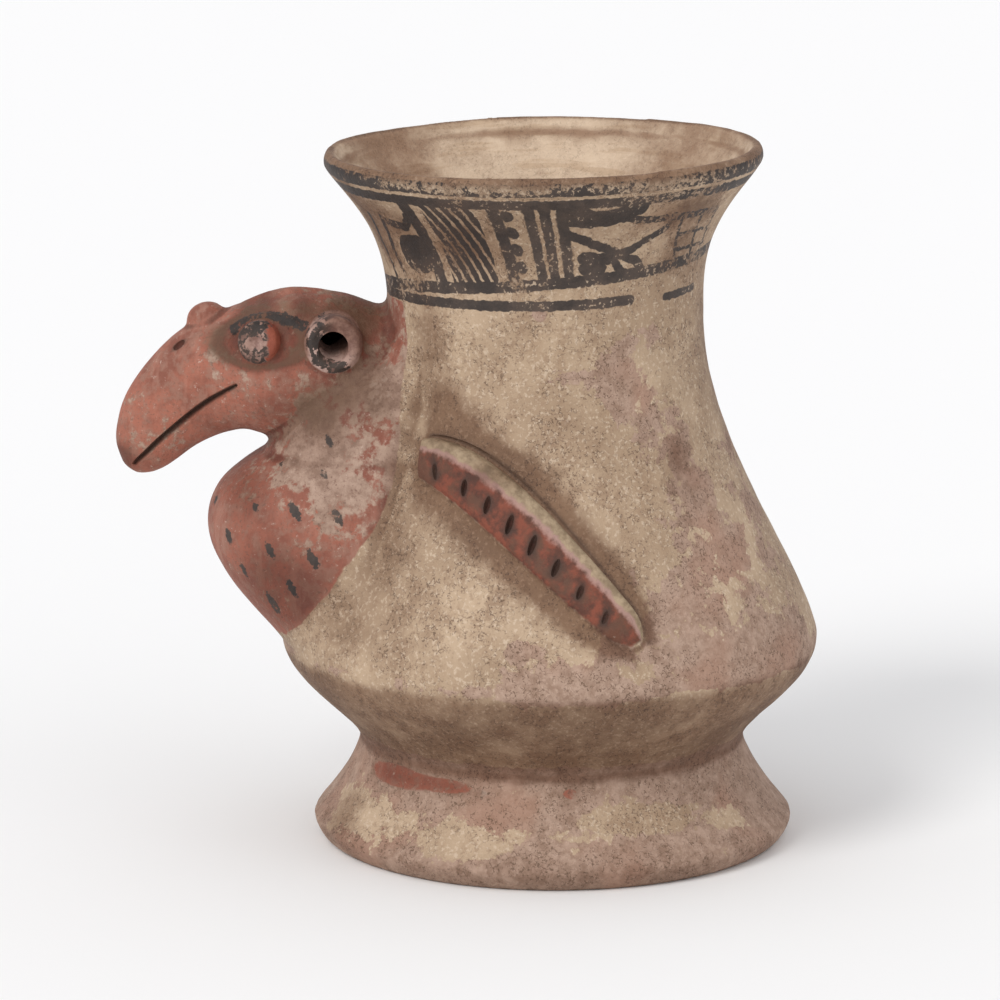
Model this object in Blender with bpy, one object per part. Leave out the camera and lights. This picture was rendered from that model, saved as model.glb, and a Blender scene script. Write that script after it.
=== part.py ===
# Bird effigy jar: one piece of hand-built fired clay, hollow, with a vulture-like head and breast
# on one side, a pair of applied wings, a flared mouth and a flared ring foot.
# Metres, +Z up. The bird faces -Y. The origin lies on the ground, midway between beak and back.

import math

import bmesh
import bpy
from mathutils import Vector

# Sizes of the jar
HEIGHT = 0.260              # ground to the crest of the lip
LIP_HEIGHT = 0.0078         # thickened band round the mouth
LIP_RADIUS = 0.0810         # outside of the mouth
LIP_STEP = 0.0012           # how far the band stands proud of the neck below it
NECK_RADIUS = 0.0588
NECK_HEIGHT = 0.196         # where the neck is narrowest
BODY_RADIUS = 0.1005
BODY_HEIGHT = 0.0765        # where the body is widest
WAIST_RADIUS = 0.0722
WAIST_HEIGHT = 0.038        # groove between body and foot
FOOT_RADIUS = 0.0903
FOOT_EDGE_HEIGHT = 0.008    # where the foot is widest
FOOT_RING_WIDTH = 0.0065    # flat ring that stands on the ground
WALL = 0.0065
FLOOR_THICKNESS = 0.009
FLOOR_DISH = 0.0010         # how much lower the floor is in its middle
LEAN = 0.0040               # how far the mouth stands over toward the bird
RIM_TILT = math.radians(1.03)   # how far the mouth dips on the bird's side

# Sizes of the breast, which is the wall pressed out from within
BREAST_RISE = 0.048
BREAST_HEIGHT = 0.131
BREAST_SPREAD = math.radians(40.0)
THROAT_RISE = 0.036         # the throat ends where the neck is narrowest

# Sizes of the head
HEAD_LENGTH = 0.1073
HEAD_HEIGHT = 0.072         # crown down to the tip of the beak
HEAD_WIDTH = 0.058
CROWN_RISE = 0.0124         # crown above the neck's narrowest place
HEAD_WALL = 0.0075
KNOB_RADIUS = 0.0078
EYE_RADIUS = 0.0083
EYE_RISE = 0.0048
EAR_RADIUS = 0.0108
EAR_HOLE_RADIUS = 0.0056
EAR_RISE = 0.0050
BROW_RADIUS = 0.0030
CREST_RADIUS = 0.0065
MOUTH_WIDTH = 0.0026
MOUTH_DEPTH = 0.0036
NOSTRIL_LENGTH = 0.0056

# Sizes of the wings
WING_WIDTH = 0.0125
WING_RISE = 0.0068
WING_ROOT = 0.0030          # how deep a wing sits in the wall
WING_TOP_HEIGHT = 0.1555
WING_FOOT_HEIGHT = 0.0910
WING_FRONT_ANGLE = math.radians(-42.0)
WING_BACK_ANGLE = math.radians(17.5)
NOTCH_COUNT = 8
NOTCH_LENGTH = 0.0080
NOTCH_WIDTH = 0.0024
NOTCH_DEPTH = 0.0024

# Section of a wing, as shares of its half width upward and of its rise outward; a rise of nothing
# marks the root
WING_SECTION = (
    (0.80, 0.0), (0.86, 0.55), (0.70, 0.90), (0.42, 1.0), (-0.15, 0.86), (-0.85, 0.42), (-1.0, 0.0),
)

# Fineness of the turned and lofted surfaces
FRONT_COLUMNS = 16
BACK_COLUMNS = 28
FRONT_SPREAD = math.radians(45.0)
HEAD_SIDES = 18
HEAD_RINGS = 18

# Outline of the head in its middle plane, as shares of its length, from neck to tip,
# and of its height, from beak tip to crown: the line over crown and beak, the line under jaw
# and beak, and the half width as a share of the widest.
CROWN_LINE = (
    (0.000, 0.860), (0.093, 0.900), (0.206, 0.955), (0.352, 0.972), (0.458, 0.945),
    (0.551, 0.905), (0.645, 0.852), (0.748, 0.782), (0.832, 0.678), (0.907, 0.552),
    (0.963, 0.425), (0.994, 0.286), (1.000, 0.175), (0.978, 0.068),
)
JAW_LINE = (
    (0.000, 0.190), (0.075, 0.165), (0.224, 0.150), (0.383, 0.180), (0.486, 0.215),
    (0.542, 0.236), (0.589, 0.225), (0.636, 0.205), (0.687, 0.172), (0.734, 0.130),
    (0.776, 0.082), (0.818, 0.040), (0.864, 0.010), (0.910, 0.002),
)
HEAD_WIDTHS = (0.78, 0.88, 0.95, 1.00, 0.95, 0.85, 0.74, 0.65, 0.57, 0.51, 0.45, 0.39, 0.32, 0.22)
BEAK_END = (0.950, 0.026)

# Places on the head, counted along its outline's points, and angles down from the crown
EYE_PLACE = 4.25
EYE_ANGLE = math.radians(60.5)
EAR_PLACE = 2.15
EAR_ANGLE = math.radians(61.5)
KNOB_PLACE = 6.35
NOSTRIL_PLACE = 7.35
NOSTRIL_ANGLE = math.radians(32.0)
MOUTH_BACK_PLACE = 5.15
MOUTH_TIP_PLACE = 12.45
MOUTH_ANGLE = math.radians(96.0)
MOUTH_BOW = math.radians(15.0)
BROW_BEAK_PLACE = 6.0
BROW_EAR_PLACE = 2.6
BROW_ANGLE = math.radians(33.0)
BROW_DIP = math.radians(16.0)
CREST_BACK_PLACE = 1.2
CREST_BEAK_PLACE = 5.8
HOLLOW_PLACE = 3.3


def smooth_step(low, high, value):
    """Ease from 0 at low to 1 at high."""
    share = min(1.0, max(0.0, (value - low) / (high - low)))
    return share * share * (3.0 - 2.0 * share)


def profile_radius(height):
    """Outside radius of the jar, without the breast, at a height above the ground."""
    lip_bottom = HEIGHT - LIP_HEIGHT
    if height <= FOOT_EDGE_HEIGHT:
        share = 1.0 - height / FOOT_EDGE_HEIGHT
        return FOOT_RADIUS - 0.6 * FOOT_EDGE_HEIGHT * share ** 2
    if height <= WAIST_HEIGHT:
        share = (WAIST_HEIGHT - height) / (WAIST_HEIGHT - FOOT_EDGE_HEIGHT)
        return WAIST_RADIUS + (FOOT_RADIUS - WAIST_RADIUS) * share ** 1.45
    if height <= BODY_HEIGHT:
        share = (height - WAIST_HEIGHT) / (BODY_HEIGHT - WAIST_HEIGHT)
        return WAIST_RADIUS + (BODY_RADIUS - WAIST_RADIUS) * math.sin(0.5 * math.pi * share) ** 1.5
    if height <= NECK_HEIGHT:
        share = (height - BODY_HEIGHT) / (NECK_HEIGHT - BODY_HEIGHT)
        return NECK_RADIUS + (BODY_RADIUS - NECK_RADIUS) * (1.0 - share ** 1.36) ** 2
    share = min(1.0, (height - NECK_HEIGHT) / (lip_bottom - NECK_HEIGHT))
    flare = 1.0 - (1.0 - share ** 2.9) ** 1.2
    return NECK_RADIUS + (LIP_RADIUS - LIP_STEP - NECK_RADIUS) * flare


def breast_rise(height):
    """How far the breast and the throat stand out from the turned wall, in the middle plane."""
    if height <= BODY_HEIGHT:
        return 0.0
    if height <= BREAST_HEIGHT:
        share = (height - BODY_HEIGHT) / (BREAST_HEIGHT - BODY_HEIGHT)
        return BREAST_RISE * math.sin(0.5 * math.pi * share) ** 1.15
    fall = (height - BREAST_HEIGHT) / (0.55 * (NECK_HEIGHT - BREAST_HEIGHT))
    breast = BREAST_RISE * math.cos(0.5 * math.pi * min(1.0, fall))
    throat_middle = 0.5 * (BREAST_HEIGHT + NECK_HEIGHT)
    throat = THROAT_RISE * (1.0 - smooth_step(throat_middle, NECK_HEIGHT, height))
    return max(breast, throat * smooth_step(BODY_HEIGHT, BREAST_HEIGHT, height))


def jar_axis(height):
    """Place of the jar's axis along Y at a height."""
    return FOOT_PLACE - LEAN * height / HEIGHT


def jar_point(angle, height, hollow=False):
    """A point on the outside of the jar; hollow leaves out the throat behind the head."""
    from_front = abs(math.atan2(math.sin(angle + 0.5 * math.pi), math.cos(angle + 0.5 * math.pi)))
    turn = min(1.0, from_front / BREAST_SPREAD)
    rise = breast_rise(height) * (1.0 - turn ** 2.5) ** 1.6
    if hollow:
        rise *= 1.0 - smooth_step(BREAST_HEIGHT, BREAST_HEIGHT + 3.0 * WALL, height)
    radius = profile_radius(height) + rise
    across = radius * math.sin(angle)
    tilt = math.tan(RIM_TILT) * smooth_step(BODY_HEIGHT, HEIGHT, height)
    return Vector((radius * math.cos(angle), jar_axis(height) + across, height + tilt * across))


def jar_normal(angle, height, hollow=False):
    """Outward direction of the jar's surface."""
    step = 0.08 * WALL
    turn = step / NECK_RADIUS
    along = jar_point(angle + turn, height, hollow) - jar_point(angle - turn, height, hollow)
    up = jar_point(angle, height + step, hollow) - jar_point(angle, height - step, hollow)
    return along.cross(up).normalized()


def column_angles():
    """Angles round the jar, closer together over the breast."""
    front = -0.5 * math.pi
    width = 2.0 * FRONT_SPREAD
    rest = 2.0 * math.pi - width
    angles = [front - FRONT_SPREAD + width * i / FRONT_COLUMNS for i in range(FRONT_COLUMNS)]
    angles += [front + FRONT_SPREAD + rest * i / BACK_COLUMNS for i in range(BACK_COLUMNS)]
    return angles


def heights_between(low, high, count):
    """Evenly spaced heights above low, up to and with high."""
    return [low + (high - low) * (i + 1) / count for i in range(count)]


def new_object(name, builder, material=None):
    """A mesh object from a function that fills a bmesh."""
    mesh = bpy.data.meshes.new(name)
    data = bmesh.new()
    builder(data)
    bmesh.ops.recalc_face_normals(data, faces=data.faces)
    data.to_mesh(mesh)
    data.free()
    mesh.shade_smooth()
    mesh.set_sharp_from_angle(angle=math.radians(50.0))
    result = bpy.data.objects.new(name, mesh)
    bpy.context.scene.collection.objects.link(result)
    if material:
        mesh.materials.append(material)
    return result


def skin_rings(data, rings, start=None, end=None):
    """Join closed rings of points into one shell, with a fan to a point at each end."""
    loops = [[data.verts.new(point) for point in ring] for ring in rings]
    for first, second in zip(loops, loops[1:]):
        for i in range(len(first)):
            j = (i + 1) % len(first)
            data.faces.new((first[i], first[j], second[j], second[i]))
    for loop, point in ((loops[0], start), (loops[-1], end)):
        if point is None:
            data.faces.new(loop)
            continue
        middle = data.verts.new(point)
        for i in range(len(loop)):
            data.faces.new((loop[i], loop[(i + 1) % len(loop)], middle))


def flat_ring(radius, height):
    """A level ring about the jar's axis."""
    centre = Vector((0.0, jar_axis(height), height))
    return [centre + radius * Vector((math.cos(a), math.sin(a), 0.0)) for a in column_angles()]


def lip_ring(radius, height):
    """A ring of the lip, which dips toward the bird."""
    ring = []
    for angle in column_angles():
        across = radius * math.sin(angle)
        over = math.tan(RIM_TILT) * across
        ring.append(Vector((radius * math.cos(angle), jar_axis(height) + across, height + over)))
    return ring


def build_jar(data):
    """The jar's wall, floor and foot as one closed shell."""
    angles = column_angles()
    lip_bottom = HEIGHT - LIP_HEIGHT
    heights = [0.0, 0.4 * FOOT_EDGE_HEIGHT, FOOT_EDGE_HEIGHT]
    heights += heights_between(FOOT_EDGE_HEIGHT, WAIST_HEIGHT, 4)
    heights += heights_between(WAIST_HEIGHT, BODY_HEIGHT, 5)
    heights += heights_between(BODY_HEIGHT, NECK_HEIGHT, 13)
    heights += heights_between(NECK_HEIGHT, lip_bottom, 6)

    foot_inner = profile_radius(0.0) - FOOT_RING_WIDTH
    hollow_top = WAIST_HEIGHT
    rings = []
    for share, rise in ((0.45, 1.0), (0.75, 0.94), (0.90, 0.72), (0.955, 0.42), (1.0, 0.0)):
        rings.append(flat_ring(foot_inner * share, hollow_top * rise))
    rings += [[jar_point(angle, height) for angle in angles] for height in heights]
    rings.append(lip_ring(LIP_RADIUS, HEIGHT - 0.78 * LIP_HEIGHT))
    rings.append(lip_ring(LIP_RADIUS, HEIGHT - 0.38 * LIP_HEIGHT))
    rings.append(lip_ring(LIP_RADIUS - 0.12 * LIP_HEIGHT, HEIGHT - 0.12 * LIP_HEIGHT))
    rings.append(lip_ring(LIP_RADIUS - 0.40 * WALL, HEIGHT))
    rings.append(lip_ring(LIP_RADIUS - 0.80 * WALL, HEIGHT - 0.16 * LIP_HEIGHT))

    floor_top = WAIST_HEIGHT + FLOOR_THICKNESS
    lowest = WAIST_HEIGHT + 0.10 * (BODY_HEIGHT - WAIST_HEIGHT)
    for height in reversed(heights):
        if height <= lowest:
            break
        ring = []
        for angle in angles:
            point = jar_point(angle, height, True) - WALL * jar_normal(angle, height, True)
            point.z = max(point.z, floor_top + FLOOR_DISH)
            ring.append(point)
        rings.append(ring)
    floor_radius = WAIST_RADIUS - 2.0 * WALL
    rings.append(flat_ring(floor_radius, floor_top))
    rings.append(flat_ring(0.5 * floor_radius, floor_top - 0.5 * FLOOR_DISH))
    underside = Vector((0.0, FOOT_PLACE, hollow_top))
    floor_middle = Vector((0.0, FOOT_PLACE, floor_top - FLOOR_DISH))
    skin_rings(data, rings, underside, floor_middle)


def blend_points(points, place):
    """Smooth curve through evenly numbered points, read at a place from 0 to the last number."""
    last = len(points) - 1
    index = min(last - 1, max(0, int(place)))
    t = place - index
    p0 = points[max(0, index - 1)]
    p1 = points[index]
    p2 = points[index + 1]
    p3 = points[min(last, index + 2)]
    result = []
    for a, b, c, d in zip(p0, p1, p2, p3):
        result.append(b + 0.5 * t * (c - a + t * (2 * a - 5 * b + 4 * c - d + t * (3 * (b - c) + d - a))))
    return result


def head_place(forward, rise):
    """Point in the head's middle plane from its shares of length and height."""
    return Vector((0.0, HEAD_ROOT - HEAD_LENGTH * forward, CROWN_HEIGHT - HEAD_HEIGHT * (1.0 - rise)))


def head_point(place, angle):
    """Point on the head: place counts the outline's points, angle runs from the crown down one side."""
    top = head_place(*blend_points(CROWN_LINE, place))
    bottom = head_place(*blend_points(JAW_LINE, place))
    width = 0.5 * HEAD_WIDTH * blend_points([(w,) for w in HEAD_WIDTHS], place)[0]
    middle = 0.5 * (top + bottom)
    point = middle + 0.5 * (top - bottom) * math.cos(angle)
    point.x = width * math.copysign(abs(math.sin(angle)) ** 0.92, math.sin(angle))
    return point


def head_frame(place, angle):
    """Point, outward direction and direction toward the beak's tip on the head's surface."""
    point = head_point(place, angle)
    forward = (head_point(place + 0.05, angle) - head_point(place - 0.05, angle)).normalized()
    around = head_point(place, angle + 0.03) - head_point(place, angle - 0.03)
    outward = around.cross(forward).normalized()
    if outward.x * math.sin(angle) < 0.0:
        outward.negate()
    return point, outward, forward


def in_wall(point):
    """The same point moved along Y into the middle of the jar's wall."""
    radius = profile_radius(point.z) - 0.5 * WALL
    depth = math.sqrt(max(0.0, radius ** 2 - point.x ** 2))
    return Vector((point.x, jar_axis(point.z) - depth, point.z))


def build_head(data):
    """Head and beak as one loft, its root set into the jar's wall."""
    last = len(CROWN_LINE) - 1
    turns = [2.0 * math.pi * i / HEAD_SIDES for i in range(HEAD_SIDES)]
    root = 0.5 * (head_point(0.0, 0.0) + head_point(0.0, math.pi))
    rings = []
    for i in range(HEAD_RINGS + 1):
        place = last * i / HEAD_RINGS
        ring = [head_point(place, turn) for turn in turns]
        if i == 0:
            rings.append([in_wall(0.5 * (point + root)) for point in ring])
            ring = [in_wall(point) for point in ring]
        rings.append(ring)
    skin_rings(data, rings, in_wall(root), head_place(*BEAK_END))


def build_tube(data, path, radii, sides=8):
    """A closed tube with rounded ends along a path."""
    rings = []
    for i, (point, radius) in enumerate(zip(path, radii)):
        ahead = path[min(i + 1, len(path) - 1)] - path[max(i - 1, 0)]
        ahead.normalize()
        side = ahead.cross(Vector((0.0, 0.3, 1.0))).normalized()
        up = side.cross(ahead)
        turns = [2.0 * math.pi * k / sides for k in range(sides)]
        rings.append([point + radius * (side * math.cos(t) + up * math.sin(t)) for t in turns])
    skin_rings(data, rings, path[0], path[-1])


def build_crest(data):
    """Low ridge over the crown."""
    count = 9
    path = []
    radii = []
    for i in range(count + 1):
        share = i / count
        place = CREST_BACK_PLACE + (CREST_BEAK_PLACE - CREST_BACK_PLACE) * share
        swell = math.sin(math.pi * (0.06 + 0.88 * share)) ** 0.6
        point = head_point(place, 0.0)
        point.z -= CREST_RADIUS * (1.0 - 0.23 * swell)
        path.append(point)
        radii.append(CREST_RADIUS * (0.35 + 0.65 * swell))
    build_tube(data, path, radii)


def build_brows(data):
    """A ridge over each eye, from the beak's root to the ear."""
    count = 8
    for side in (1.0, -1.0):
        path = []
        radii = []
        for i in range(count + 1):
            share = i / count
            swell = math.sin(math.pi * (0.055 + 0.89 * share)) ** 0.5
            dip = (2.0 * share - 1.0) ** 2 + 0.25 * share
            angle = side * (BROW_ANGLE + BROW_DIP * dip)
            place = BROW_BEAK_PLACE + (BROW_EAR_PLACE - BROW_BEAK_PLACE) * share
            point, outward, forward = head_frame(place, angle)
            path.append(point - outward * BROW_RADIUS * (0.9 - 0.3 * swell))
            radii.append(BROW_RADIUS * (0.3 + 0.7 * swell))
        build_tube(data, path, radii, 8)


def build_ball(data, centre, axes, rows=7, sides=12):
    """An egg shape from its centre and three half axes."""
    rings = []
    for i in range(1, rows):
        tilt = math.pi * i / rows
        ring = []
        for k in range(sides):
            turn = 2.0 * math.pi * k / sides
            ring.append(centre + axes[2] * math.cos(tilt)
                        + (axes[0] * math.cos(turn) + axes[1] * math.sin(turn)) * math.sin(tilt))
        rings.append(ring)
    skin_rings(data, rings, centre + axes[2], centre - axes[2])


def build_knob(data):
    """Fleshy knob on the root of the beak."""
    point = head_point(KNOB_PLACE, 0.0)
    ahead = (head_point(KNOB_PLACE + 0.25, 0.0) - head_point(KNOB_PLACE - 0.25, 0.0)).normalized()
    up = Vector((1.0, 0.0, 0.0)).cross(ahead).normalized()
    if up.z < 0.0:
        up.negate()
    axes = (Vector((KNOB_RADIUS * 0.95, 0.0, 0.0)), ahead * KNOB_RADIUS * 1.02, up * KNOB_RADIUS * 0.86)
    build_ball(data, point - up * 0.13 * KNOB_RADIUS, axes)


def build_turned(data, point, outward, profile, sides=16):
    """A shape turned about the outward direction, from (radius, rise) pairs; ends lie on the axis."""
    side = outward.cross(Vector((0.0, 0.0, 1.0))).normalized()
    up = side.cross(outward)
    rings = []
    turns = [2.0 * math.pi * k / sides for k in range(sides)]
    for radius, rise in profile[1:-1]:
        middle = point + outward * rise
        rings.append([middle + radius * (side * math.cos(t) + up * math.sin(t)) for t in turns])
    skin_rings(data, rings, point + outward * profile[0][1], point + outward * profile[-1][1])


def eye_frame(side):
    """Centre and direction of an eye."""
    point, outward, forward = head_frame(EYE_PLACE, side * EYE_ANGLE)
    return point, (outward + Vector((side * 0.9, 0.0, -0.12))).normalized()


def ear_frame(side):
    """Centre and direction of an ear, which faces square to the side."""
    point, outward, forward = head_frame(EAR_PLACE, side * EAR_ANGLE)
    return point, Vector((side, 0.05, 0.0)).normalized()


def build_eyes(data):
    """A round boss for each eye."""
    for side in (1.0, -1.0):
        point, outward = eye_frame(side)
        profile = [(0.0, -EYE_RADIUS), (0.85 * EYE_RADIUS, -EYE_RADIUS)]
        for radius, rise in ((1.0, -0.4), (1.0, 0.35), (0.88, 0.78), (0.55, 0.97), (0.0, 1.0)):
            profile.append((EYE_RADIUS * radius, EYE_RISE * rise))
        build_turned(data, point, outward, profile)


def build_ears(data):
    """A rounded ring for each ear, before its hole is made."""
    for side in (1.0, -1.0):
        point, outward = ear_frame(side)
        profile = [(0.0, -EAR_RADIUS), (EAR_RADIUS * 0.8, -EAR_RADIUS), (EAR_RADIUS, -0.3 * EAR_RADIUS)]
        profile += [(EAR_RADIUS, 0.45 * EAR_RISE), (0.93 * EAR_RADIUS, 0.85 * EAR_RISE)]
        profile += [(0.5 * (EAR_RADIUS + EAR_HOLE_RADIUS), EAR_RISE)]
        profile += [(0.8 * EAR_HOLE_RADIUS, 0.80 * EAR_RISE), (0.0, 0.78 * EAR_RISE)]
        build_turned(data, point, outward, profile)


def build_sockets(data):
    """A shallow almond round each eye."""
    for side in (1.0, -1.0):
        point, outward = eye_frame(side)
        ahead = Vector((0.0, -1.0, 0.06))
        ahead = (ahead - outward * ahead.dot(outward)).normalized()
        up = ahead.cross(outward).normalized()
        axes = (ahead * EYE_RADIUS * 2.05, up * EYE_RADIUS * 1.15, outward * EYE_RADIUS * 0.5)
        build_ball(data, point + outward * EYE_RADIUS * 0.27, axes, 8, 16)


def build_ear_hole(data):
    """A straight tunnel through the head from ear to ear, which opens the head's hollow."""
    left, outward = ear_frame(1.0)
    right = Vector((-left.x, left.y, left.z))
    across = (left - right).normalized()
    reach = EAR_RISE + 2.0 * HEAD_WALL
    half = left.x + reach
    profile = [(0.0, -half), (EAR_HOLE_RADIUS, -half), (EAR_HOLE_RADIUS, half), (0.0, half)]
    build_turned(data, 0.5 * (left + right), across, profile, 14)


def build_head_hollow(data):
    """The hollow of the head, which keeps the head's wall all round."""
    middle = 0.5 * (head_point(HOLLOW_PLACE, 0.0) + head_point(HOLLOW_PLACE, math.pi))
    half_width = 0.5 * HEAD_WIDTH - HEAD_WALL
    half_height = 0.40 * HEAD_HEIGHT - HEAD_WALL
    half_length = 0.235 * HEAD_LENGTH
    lengths = (half_width, half_length, half_height)
    axes = [Vector([length * (i == k) for k in range(3)]) for i, length in enumerate(lengths)]
    build_ball(data, middle + Vector((0.0, 0.0, 0.03 * HEAD_HEIGHT)), axes)


def build_mouth(data):
    """A narrow slit along each side of the beak."""
    for side in (1.0, -1.0):
        rings = []
        count = 9
        for i in range(count + 1):
            share = i / count
            place = MOUTH_BACK_PLACE + (MOUTH_TIP_PLACE - MOUTH_BACK_PLACE) * share
            angle = side * (MOUTH_ANGLE + MOUTH_BOW * math.sin(math.pi * share) ** 1.2)
            point, outward, forward = head_frame(place, angle)
            across = outward.cross(forward).normalized()
            taper = 0.35 + 0.65 * math.sin(math.pi * (0.04 + 0.92 * share)) ** 0.5
            half = 0.5 * MOUTH_WIDTH * taper
            deep = -MOUTH_DEPTH * taper
            rings.append([
                point + outward * deep - across * 0.45 * half,
                point + outward * deep + across * 0.45 * half,
                point + outward * MOUTH_DEPTH + across * 1.8 * half,
                point + outward * MOUTH_DEPTH - across * 1.8 * half,
            ])
        skin_rings(data, rings)


def build_nostrils(data):
    """A short slot on each side of the beak's ridge."""
    for side in (1.0, -1.0):
        point, outward, forward = head_frame(NOSTRIL_PLACE, side * NOSTRIL_ANGLE)
        across = outward.cross(forward).normalized()
        axes = (forward * NOSTRIL_LENGTH * 0.5, across * MOUTH_WIDTH * 0.5, outward * NOSTRIL_LENGTH * 0.45)
        build_ball(data, point, axes, 5, 8)


def wing_frame(share, side):
    """Point, outward direction and direction along a wing, on the jar's surface."""
    def at(value):
        angle = WING_FRONT_ANGLE + (WING_BACK_ANGLE - WING_FRONT_ANGLE) * value ** 0.65
        height = WING_TOP_HEIGHT + (WING_FOOT_HEIGHT - WING_TOP_HEIGHT) * value
        return angle, height
    angle, height = at(share)
    point = jar_point(angle, height)
    outward = jar_normal(angle, height)
    ahead = jar_point(*at(min(1.0, share + 0.02))) - jar_point(*at(max(0.0, share - 0.02)))
    ahead.normalize()
    if side < 0.0:
        for vector in (point, outward, ahead):
            vector.x = -vector.x
    up = side * outward.cross(ahead)
    if up.z < 0.0:
        up.negate()
    return point, outward, ahead, up.normalized()


def build_wings(data):
    """A raised strip for each wing: a ledge above, and a face that slopes back to the wall below."""
    count = 12
    for side in (1.0, -1.0):
        rings = []
        for i in range(count + 1):
            share = i / count
            point, outward, ahead, up = wing_frame(share, side)
            swell = math.sin(math.pi * (0.035 + 0.90 * share)) ** 0.42
            half = 0.5 * WING_WIDTH * swell
            rise = WING_RISE * swell
            ring = []
            for over, lift in WING_SECTION:
                depth = WING_ROOT if lift == 0.0 else 0.0
                ring.append(point + up * half * over + outward * (rise * lift - depth))
            rings.append(ring)
        skin_rings(data, rings)


def build_notches(data):
    """The row of short cuts across the face of each wing."""
    for side in (1.0, -1.0):
        for i in range(NOTCH_COUNT):
            share = 0.10 + 0.76 * (i / (NOTCH_COUNT - 1)) ** 0.95
            point, outward, ahead, up = wing_frame(share, side)
            centre = point - up * 0.17 * WING_WIDTH + outward * 0.80 * WING_RISE
            slope = (up + 0.35 * outward).normalized()
            slope = (slope + 0.25 * ahead).normalized()
            across = slope.cross(outward).normalized()
            axes = (slope * 0.5 * NOTCH_LENGTH, across * 0.5 * NOTCH_WIDTH, outward * NOTCH_DEPTH)
            build_ball(data, centre, axes, 5, 6)


def add_boolean(target, builder, operation):
    """Join or cut the target with a guide solid, which is kept hidden."""
    guide = new_object("guide_" + builder.__name__.replace("build_", ""), builder)
    guide.hide_render = True
    guide.display_type = 'WIRE'
    modifier = target.modifiers.new(guide.name, 'BOOLEAN')
    modifier.operation = operation
    modifier.object = guide
    modifier.solver = 'EXACT'


def clay_material():
    """Buff slip over fired clay."""
    material = bpy.data.materials.new("slipped_clay")
    material.use_nodes = True
    shader = material.node_tree.nodes["Principled BSDF"]
    shader.inputs["Base Color"].default_value = (0.48, 0.35, 0.23, 1.0)
    shader.inputs["Roughness"].default_value = 0.82
    shader.inputs["Metallic"].default_value = 0.0
    material.diffuse_color = (0.48, 0.35, 0.23, 1.0)
    return material


# The jar's foot stands where the origin falls midway between the beak's front and the back
CROWN_HEIGHT = NECK_HEIGHT + CROWN_RISE
ROOT_REACH = profile_radius(CROWN_HEIGHT) - WALL + LEAN * CROWN_HEIGHT / HEIGHT
BACK_REACH = BODY_RADIUS - LEAN * BODY_HEIGHT / HEIGHT
FOOT_PLACE = 0.5 * (ROOT_REACH + HEAD_LENGTH - BACK_REACH)
HEAD_ROOT = FOOT_PLACE - ROOT_REACH

for old in list(bpy.data.objects):
    bpy.data.objects.remove(old, do_unlink=True)

jar = new_object("bird_effigy_jar", build_jar, clay_material())
for builder in (build_head, build_crest, build_knob):
    add_boolean(jar, builder, 'UNION')
add_boolean(jar, build_sockets, 'DIFFERENCE')
for builder in (build_brows, build_eyes, build_ears, build_wings):
    add_boolean(jar, builder, 'UNION')
for builder in (build_head_hollow, build_ear_hole, build_mouth, build_nostrils, build_notches):
    add_boolean(jar, builder, 'DIFFERENCE')
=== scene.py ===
# Bird effigy jar: a hand-built pot of fired clay with the head, breast and wings of a vulture-like
# bird, slipped in cream, painted in red and black, and worn by age. Metres, +Z up, the bird faces -Y.

import math

import bpy
import numpy as np
from mathutils import Matrix, Vector, noise


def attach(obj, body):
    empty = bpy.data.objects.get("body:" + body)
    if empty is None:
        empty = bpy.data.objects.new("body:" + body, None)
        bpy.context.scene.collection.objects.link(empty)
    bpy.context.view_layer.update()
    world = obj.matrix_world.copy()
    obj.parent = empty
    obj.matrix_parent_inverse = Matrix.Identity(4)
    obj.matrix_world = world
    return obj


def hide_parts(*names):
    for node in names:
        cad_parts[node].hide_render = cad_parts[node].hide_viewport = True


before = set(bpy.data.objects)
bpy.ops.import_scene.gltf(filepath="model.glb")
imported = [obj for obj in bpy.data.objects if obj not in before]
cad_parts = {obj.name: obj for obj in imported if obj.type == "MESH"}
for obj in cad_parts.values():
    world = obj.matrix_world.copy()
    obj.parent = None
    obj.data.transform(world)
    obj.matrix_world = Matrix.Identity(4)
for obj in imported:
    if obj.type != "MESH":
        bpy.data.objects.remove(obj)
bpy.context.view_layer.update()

# Table, camera and light
# The jar stands on a pale table under soft daylight from the upper left. The camera looks down a
# little at the jar's left side from two metres away, through a long lens.
TABLE_SIZE = 40.0
CAMERA_PLACE = (1.94567, 0.01205, 0.5431)
CAMERA_DIP = math.radians(12.0863)
CAMERA_LENS = 192.29
SKY_STRENGTH = 0.80


def tint(red, green, blue):
    """A colour as the eye reads it, 0 to 255, turned into light."""
    return tuple((part / 255.0) ** 2.2 for part in (red, green, blue)) + (1.0,)


bpy.ops.object.select_all(action='DESELECT')
bpy.ops.mesh.primitive_plane_add(size=TABLE_SIZE)
table = bpy.context.object
table.name = "table"
table_paint = bpy.data.materials.new("table_paint")
table_paint.use_nodes = True
table_paint.node_tree.nodes["Principled BSDF"].inputs["Base Color"].default_value = tint(244, 243, 241)
table_paint.node_tree.nodes["Principled BSDF"].inputs["Roughness"].default_value = 0.9
table.data.materials.append(table_paint)

sky = bpy.data.worlds.new("soft_sky")
sky.use_nodes = True
sky.node_tree.nodes["Background"].inputs["Color"].default_value = tint(250, 251, 255)
sky.node_tree.nodes["Background"].inputs["Strength"].default_value = SKY_STRENGTH
bpy.context.scene.world = sky

for lamp_name, strength, spread, turn in (
    ("window_light", 1.35, 24.0, (50.0, 0.0, 52.0)),
    ("side_light", 0.25, 60.0, (60.0, 0.0, 140.0)),
):
    bpy.ops.object.light_add(type='SUN', rotation=[math.radians(part) for part in turn])
    lamp = bpy.context.object
    lamp.name = lamp_name
    lamp.data.energy = strength
    lamp.data.angle = math.radians(spread)

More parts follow.
